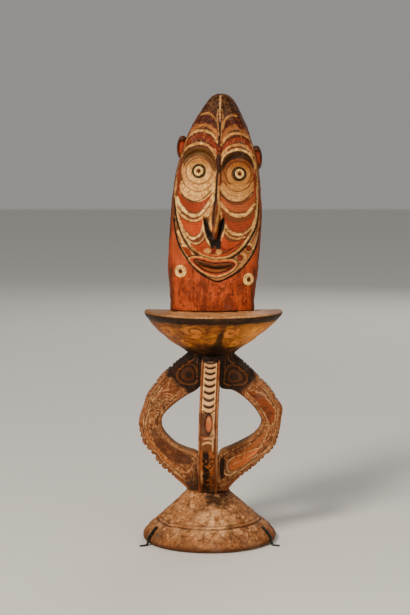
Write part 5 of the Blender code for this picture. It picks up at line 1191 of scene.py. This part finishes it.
def build_dish():
    sides = 460
    R, A, Z, S, rows = lathe(DISH_PROFILE, sides, 1.35, 1.2)
    p = np.stack([R * np.cos(A), R * np.sin(A), Z], -1)
    rows_top = Z > 414.9
    under = smoothstep(409.0, 401.0, Z)
    wall = np.clip((Z - 339.3) / (416.6 - 339.3), 0, 1)
    s = Sheet(A, Z, col(190, 116, 58))
    s.wash(0.6 * smoothstep(0.4, 0.7, clouds(p, (14, 14, 9), 501)), col(214, 146, 66))
    s.wash(0.8 * smoothstep(0.5, 0.70, clouds(p, (9, 9, 7), 505)), col(116, 60, 28))
    # volutes round the underside: six pairs, dark in the cuts
    h = np.zeros(len(p))
    mask = np.zeros(len(p))
    # angle from the front
    front = np.mod(A + math.pi / 2 + math.pi, 2 * math.pi) - math.pi
    ground = np.ones(len(p))
    sway = 7.0 * (noise(p, 22, 520) - 0.5)
    for k in range(10):
        mid = (k + 0.5) * math.pi / 5 - math.pi
        around = (np.mod(front - mid + math.pi, 2 * math.pi) - math.pi)
        for lift_, size, hand, shift in ((385.0, 22.0, 1 if k % 2 else -1, 0.0), (361.0, 13.5, -1 if k % 2 else 1, 0.31)):
            du = (np.mod(around - shift + math.pi, 2 * math.pi) - math.pi) * R + sway
            dv = (Z - lift_) * 1.5 + 0.5 * sway
            r_ = np.hypot(du, dv)
            ground = np.minimum(ground, smoothstep(size * 0.80, size * 1.0, r_))
            a_ = np.arctan2(dv, du * hand) / (2 * math.pi)
            ph = np.mod(r_ / size * 1.35 - a_, 1.0)
            mask = np.maximum(mask, smoothstep(0.26, 0.06, np.abs(ph - 0.5)) * smoothstep(size * 1.02, size * 0.9, r_) * smoothstep(0.28, 0.55, clouds(p, 9, 522) + 0.12))
    mask = np.maximum(mask, 0.9 * ground)
    band = smoothstep(1.6, 0.5, np.abs(Z - 401.5 + 1.2 * (noise(p, 14, 523) - 0.5))) + smoothstep(1.2, 0.4, np.abs(Z - 349.0))
    mask = np.maximum(mask, band * under)
    s.wash(mask * under * 0.78 * (0.45 + 0.55 * smoothstep(0.3, 0.6, clouds(p, 8, 524))), col(74, 36, 12))
    h -= 1.3 * mask * under
    # the underside brighter and more golden on the right: painted light
    s.wash(0.55 * smoothstep(34, 70, p[:, 0]) * under * (0.5 + 0.5 * smoothstep(0.35, 0.6, clouds(p, 10, 527))), col(236, 156, 58))
    # the underside darker on the left: painted shade
    s.wash(0.35 * smoothstep(-52, -92, p[:, 0]) * under, col(150, 84, 30))
    # soot running down to the front arm
    wedge = smoothstep(1.0, 0.4, np.abs(p[:, 0] - np.interp(Z, [345, 396], [8.0, 20.0])) / np.interp(Z, [345, 366, 396], [21.0, 9.0, 4.0])) * (p[:, 1] < 0)
    s.wash(wedge * smoothstep(402, 380, Z) * 0.9, col(30, 15, 8))
    # soot where the arms meet the dish
    soot = smoothstep(364.0, 345.0, Z + 8 * (clouds(p, 12, 530) - 0.5) - 16 * np.cos(2 * front) ** 8 * 0.6)
    s.wash(soot * (R > 20) * 0.9, col(28, 15, 10))
    # rim band and top
    rim = smoothstep(399.0, 402.5, Z + 5.5 * (clouds(p, 6, 540) - 0.5)) * (1 - rows_top)
    s.wash(rim * 0.98, col(22, 10, 2))
    s.wash(rim * 0.5 * smoothstep(0.5, 0.7, clouds(p, (6, 6, 3), 543)), col(80, 48, 18))
    s.wash(0.5 * smoothstep(386.0, 400.0, Z + 6 * (clouds(p, 9, 544) - 0.5)) * (1 - rows_top) * (1 - rim), col(70, 40, 14))
    top = smoothstep(413.6, 415.3, Z)
    s.wash(top, col(190, 142, 112))
    s.wash(top * 0.8 * smoothstep(0.45, 0.66, clouds(p, (16, 9, 9), 546)), col(146, 94, 62))
    s.wash(top * 0.8 * smoothstep(0.55, 0.70, clouds(p, (9, 4, 5), 549)), col(224, 180, 150))
    s.wash(top * smoothstep(64, 104, np.abs(p[:, 0] - 7)) * 0.75, col(104, 66, 34))
    s.wash(top * 0.9 * smoothstep(16.0, 4.0, np.hypot((p[:, 0] + 1.0) / 84 * 60, (p[:, 1] - 9.0) / 45 * 60) - 56) * smoothstep(0.3, 0.6, clouds(p, 9, 551)), col(74, 46, 30))
    h += (facets(p, (15, 15, 13), 55) - 0.5) * 1.0 * under + (clouds(p, 8, 560) - 0.5) * 0.8
    nick = smoothstep(0.70, 0.80, noise(p, (9, 9, 30), 570)) * smoothstep(404, 412, Z) * smoothstep(112, 120, R)
    h -= 1.2 * nick
    ang_w = 1 + 0.005 * (np.sin(3 * A + 2.1) + 0.6 * np.sin(5 * A + 4.2)) * smoothstep(345, 375, Z)
    nz = np.where(rows_top, 1.0, 0.0)
    flatten_ = smoothstep(341.5, 348.0, Z)
    P = p.copy()
    r2 = R * ang_w + np.where(rows_top, 0.0, h * 0.8 * flatten_)
    upper = moved(CAGE, np.array([[0, 0, 339.3]]))[0, 0]
    share = np.clip((Z - 339.3) / (416.5 - 339.3), 0, 1)
    cx = upper + (7.2 - upper) * share - 1.8 * np.sin(math.pi * np.minimum(1.0, 1.3 * share))
    P[:, 0], P[:, 1] = cx + r2 * np.cos(A), r2 * np.sin(A)
    P[:, 2] = Z + np.where(rows_top, np.clip(h, -0.9, 0.35) * 0.8, -0.35 * h * flatten_ * under)
    P[:, 2] += top_fall(P[:, 1], Z)
    low = Z < 339.9
    P[low, 2] += (P[low, 0] - cx[low]) * -math.sin(CAGE_LEAN)
    faces = grid_faces(rows, sides, flip=True) + [list(range(sides)), [(rows - 1) * sides + k for k in range(sides)][::-1]]
    pp, pf = post("p", 284.6, 345.0, None, None, None, None, 1)
    pc = Sheet(pp[:, 0], pp[:, 2], col(40, 22, 14))
    pc.wash(0.7 * smoothstep(0.4, 0.7, clouds(pp, 7, 580)), col(74, 42, 24))
    P, F, C = join([(P, faces, s.rgb), (moved(CAGE, pp), pf, pc.rgb)])
    ob = make_mesh("dish_carved", P, F, C, 0.3 * smoothstep(0.6, 0.8, clouds(P, 24, 590)) * (P[:, 2] > 414), sharp=60)
    ob.data.materials.append(MAT_DISH)
    place(ob, "dish_wood", "dish")


def build_foot():
    sides = 460
    R, A, Z, S, rows = lathe(FOOT_PROFILE, sides, 1.35, 1.2)
    p = np.stack([R * np.cos(A), R * np.sin(A), Z], -1)
    front = np.mod(A + math.pi / 2 + math.pi, 2 * math.pi) - math.pi
    side = smoothstep(0.4, 3.0, Z) * smoothstep(89.3, 86.0, Z)
    s = Sheet(A, Z, col(160, 114, 84))
    s.wash(0.75 * smoothstep(0.42, 0.66, clouds(p, (13, 13, 9), 601)), col(126, 84, 56))
    s.wash(0.75 * smoothstep(0.5, 0.70, clouds(p, (7, 7, 5), 604)), col(206, 162, 136))
    s.wash(0.75 * smoothstep(0.56, 0.72, clouds(p, (4.5, 4.5, 4), 608)), col(84, 54, 34))
    # painted highlight on the front middle of the foot
    front_highlight_painted = smoothstep(46.0, 12.0, np.hypot(p[:, 0] - 8, (Z - 44) * 1.6)) * (p[:, 1] < 0)
    s.wash(0.6 * front_highlight_painted * smoothstep(0.35, 0.6, clouds(p, 7, 611)), col(234, 194, 170))
    veins = smoothstep(0.05, 0.015, np.abs(noise(p, (15, 15, 11), 612) - 0.5)) + smoothstep(0.06, 0.02, np.abs(noise(p, (8, 8, 6), 613) - 0.5)) * 0.7
    s.wash(0.6 * np.clip(veins, 0, 1) * smoothstep(0.35, 0.55, clouds(p, 16, 614)), col(70, 44, 26))
    # dark patch below and to the right of the front arm: painted shadow of the arm, with a dark blotch
    s.wash(0.92 * smoothstep(64.0, 74.0, Z + 9 * (clouds(p, 8, 615) - 0.5)) * smoothstep(-14.0, 2.0, p[:, 0] + 14 * (clouds(p, 6, 616) - 0.5)) * smoothstep(48.0, 32.0, p[:, 0] + 12 * (clouds(p, 6, 617) - 0.5)) * (p[:, 1] < 0), col(44, 24, 13))
    h = np.zeros(len(p))

    def cut(w, depth=1.3, colour=col(60, 36, 24), strength=0.8):
        nonlocal h
        w = np.clip(w, 0, 1) * side
        s.wash(w * strength, colour)
        h = h - depth * w

    wv = 1.6 * (noise(p, 14, 610) - 0.5)
    cut(smoothstep(1.9, 0.5, np.abs(Z - 37.0 + wv)), 1.5, strength=0.85)
    cut(smoothstep(1.2, 0.3, np.abs(Z - 41.5 + wv)), 0.9, strength=0.6)
    # rows of uprights and chevrons in the lower band
    n = 14
    cell = np.mod(front / (2 * math.pi) * n + 0.20, 1.0)
    which = np.floor(front / (2 * math.pi) * n + 0.20).astype(int)
    low_band = smoothstep(9.5, 11.5, Z) * smoothstep(36.0, 34.5, Z)
    wide = 2 * math.pi / n * R
    cut(smoothstep(1.3, 0.4, np.minimum(cell, 1 - cell) * wide + wv * 0.4) * low_band)
    up = (Z - 11.0) / 25.0
    d = np.abs(np.abs(cell - 0.5) * 2 - np.clip(up, 0, 1)) * wide / 2
    cut(smoothstep(1.2, 0.4, d) * low_band * (np.mod(which, 3) == 1))
    d = np.abs(np.abs(cell - 0.5) * 2 - np.clip(1 - up, 0, 1)) * wide / 2
    cut(smoothstep(1.2, 0.4, d) * low_band * (np.mod(which, 3) == 0))
    # volutes above the line
    for k in range(6):
        mid = (k + 0.5) * math.pi / 3 - math.pi
        du = (np.mod(front - mid + math.pi, 2 * math.pi) - math.pi) * R
        cut(spiral(du, (Z - 58.0) * 1.4, 19.0, 1.5, 1 if k % 2 else -1) * smoothstep(0.3, 0.6, clouds(p, 12, 618)), 1.0, strength=0.42)
    raised = smoothstep(0.5, 0.7, clouds(p, (18, 18, 9), 620))
    s.wash(0.3 * raised * side, col(206, 160, 130))
    s.wash(smoothstep(12.0, 5.5, Z + 2 * (clouds(p, 8, 622) - 0.5)) * 0.85, col(80, 46, 28))
    s.stain(smoothstep(34.0, 14.0, Z) * 0.9, (0.68, 0.58, 0.48))
    # darker away from the front, towards the sides and back: painted shade
    s.stain(smoothstep(0.0, 1.0, np.abs(np.sin(front / 2)) * 1.4 - 0.25) * 0.5, (0.80, 0.66, 0.52))
    s.stain(np.ones(len(p)), (0.98, 0.93, 1.0))
    edge = smoothstep(26.0, 10.0, Z) * 0.25
    s.wash(edge, col(104, 64, 40))
    h += (facets(p, (13, 13, 10), 66) - 0.5) * 1.9 + (clouds(p, 6, 630) - 0.5) * 1.7
    lift = h * side * smoothstep(0.5, 6.0, Z)
    wobble = 1 + 0.004 * (np.sin(3 * A + 0.7) + 0.6 * np.sin(5 * A + 1.4)) * smoothstep(0.0, 4.0, Z)
    P = p.copy()
    r2 = R * wobble + lift * 0.75
    P[:, 0], P[:, 1] = r2 * np.cos(A) + CAGE_X * Z / FOOT_TOP_Z, r2 * np.sin(A)
    P[:, 2] = np.maximum(Z + lift * 0.6, 0.0)
    high = Z > 89.0
    P[high, 2] += (P[high, 0] - CAGE_X) * -math.sin(CAGE_LEAN)
    faces = grid_faces(rows, sides) + [list(range(sides))[::-1], [(rows - 1) * sides + k for k in range(sides)]]
    pp, pf = post("p", 84.0, 150.8, None, None, None, None, 1)
    pc = Sheet(pp[:, 0], pp[:, 2], col(150, 100, 76))
    pc.wash(0.7 * smoothstep(0.4, 0.7, clouds(pp, 7, 640)), col(98, 60, 40))
    P, F, C = join([(P, faces, s.rgb), (moved(CAGE, pp), pf, pc.rgb)])
    ob = make_mesh("foot_carved", P, F, C, 0.45 * smoothstep(0.55, 0.8, clouds(P, 26, 650)), sharp=60)
    ob.data.materials.append(MAT_FOOT)
    place(ob, "foot_wood", "foot")


build_dish()
build_foot()


# ------------------------------------------------------------------ clips
def build_clip(side, bearing):
    width, thick, off, tongue = 7.0, 1.5, 2.7, 14.0
    line = [(86.0, 44.1), (98.2, 34.0), (103.8, 29.0), (109.8, 23.8), (117.0, 15.6), (120.4, 9.9), (120.8, 5.2), (121.4, 1.9)]
    inner = []
    for k, (r, z) in enumerate(line):
        a, b = line[max(k - 1, 0)], line[min(k + 1, len(line) - 1)]
        d = np.array([b[0] - a[0], b[1] - a[1]], float)
        d /= np.linalg.norm(d)
        inner.append(np.array([r, z]) + np.array([-d[1], d[0]]) * (off + thick / 2))
    path = [tuple(q) for q in inner[2:-1]] + [(inner[-1][0], 3.2), (inner[-1][0] + 1.2, thick / 2 + 0.05), (inner[-1][0] + 3.5, thick / 2 + 0.05),
                                              (inner[-1][0] + thick + tongue, thick / 2 + 0.05)]
    path = rounded(path, 0.6, 1.0)
    n = len(path)
    tan = np.gradient(path, axis=0)
    tan /= np.linalg.norm(tan, axis=1, keepdims=True)
    nor = np.stack([-tan[:, 1], tan[:, 0]], -1)
    nor[nor[:, 1] < 0] *= -1
    ring = []
    for x, y in ((-1, -1), (1, -1), (1, 1), (-1, 1)):
        for k in range(5):
            a = math.atan2(y, x) - math.pi / 4 + k * math.pi / 8
            ring.append(((width / 2 - 0.35) * x + 0.35 * math.cos(a), (thick / 2 - 0.35) * y + 0.35 * math.sin(a)))
    P = np.zeros((n, len(ring), 3))
    for c, (w, e) in enumerate(ring):
        pos = path + nor * e
        narrow = np.ones(n)
        narrow[-6:] = np.sqrt(np.clip(1 - (np.linspace(0, 1, 6) * 0.85) ** 2, 0, 1))
        P[:, c] = np.stack([pos[:, 0], w * narrow, pos[:, 1]], -1)
    P = P.reshape(-1, 3)
    P[:, 2] = np.maximum(P[:, 2], 0.0)
    rgb = np.tile(col(22, 20, 20), (len(P), 1))
    w = smoothstep(0.6, 0.8, clouds(P, 4, 700))[:, None] * 0.6
    rgb = rgb * (1 - w) + col(84, 72, 62) * w
    turn = np.array(Matrix.Rotation(math.radians(bearing), 4, "Z"))
    faces = grid_faces(n, len(ring)) + [list(range(len(ring)))[::-1], [(n - 1) * len(ring) + k for k in range(len(ring))]]
    ob = make_mesh(f"clip_{side}_strap", moved(turn, P), faces, rgb, sharp=40)
    ob.data.materials.append(MAT_STEEL)
    place(ob, "black_steel", f"clip_{side}")


build_clip("left", 180 + 28.0)
build_clip("right", -27.0)

# ------------------------------------------------------------------ floor, light and camera
bpy.ops.mesh.primitive_plane_add(size=60, location=(0, 0, -0.0005))
floor = bpy.context.active_object
floor.name = "studio_floor"
fm = bpy.data.materials.new("studio_floor_pale")
fm.use_nodes = True
fm.node_tree.nodes["Principled BSDF"].inputs["Base Color"].default_value = (0.78, 0.76, 0.72, 1)
fm.node_tree.nodes["Principled BSDF"].inputs["Roughness"].default_value = 0.85
floor.data.materials.append(fm)


def area(name, at, size, power, colour, aim=(0, 0, 0.42)):
    lamp = bpy.data.lights.new(name, "AREA")
    lamp.shape = "DISK"
    lamp.size, lamp.energy, lamp.color = size, power, colour
    ob = bpy.data.objects.new(name, lamp)
    ob.location = at
    ob.rotation_euler = (Vector(aim) - Vector(at)).to_track_quat("-Z", "Y").to_euler()
    bpy.context.scene.collection.objects.link(ob)


area("key", (-2.25, -3.8, 3.8), 1.45, 318, (1.0, 0.91, 0.78), (0, 0, 0.50))
area("fill", (4.0, -4.4, 1.5), 4.0, 60, (1.0, 0.91, 0.78))
area("glow", (0.35, -1.3, 0.10), 1.0, 8, (1.0, 0.84, 0.58), (0.03, 0, 0.38))
area("back", (1.4, 4.7, 3.0), 3.2, 65, (1.0, 0.97, 0.93))
world = bpy.data.worlds.new("studio")
bpy.context.scene.world = world
world.use_nodes = True
world.node_tree.nodes["Background"].inputs["Color"].default_value = (0.90, 0.88, 0.85, 1)
world.node_tree.nodes["Background"].inputs["Strength"].default_value = 0.34

cam_data = bpy.data.cameras.new("camera")
cam_data.sensor_fit = "AUTO"
cam_data.sensor_width = 36.0
cam_data.lens = 36.0 * REACH / 615.0
cam_data.clip_start, cam_data.clip_end = 0.05, 200.0
cam = bpy.data.objects.new("camera", cam_data)
cam.location = Vector(EYE_POINT) * MM
cam.rotation_euler = (math.pi / 2 - TILT, 0, 0)
bpy.context.scene.collection.objects.link(cam)
bpy.context.scene.camera = cam

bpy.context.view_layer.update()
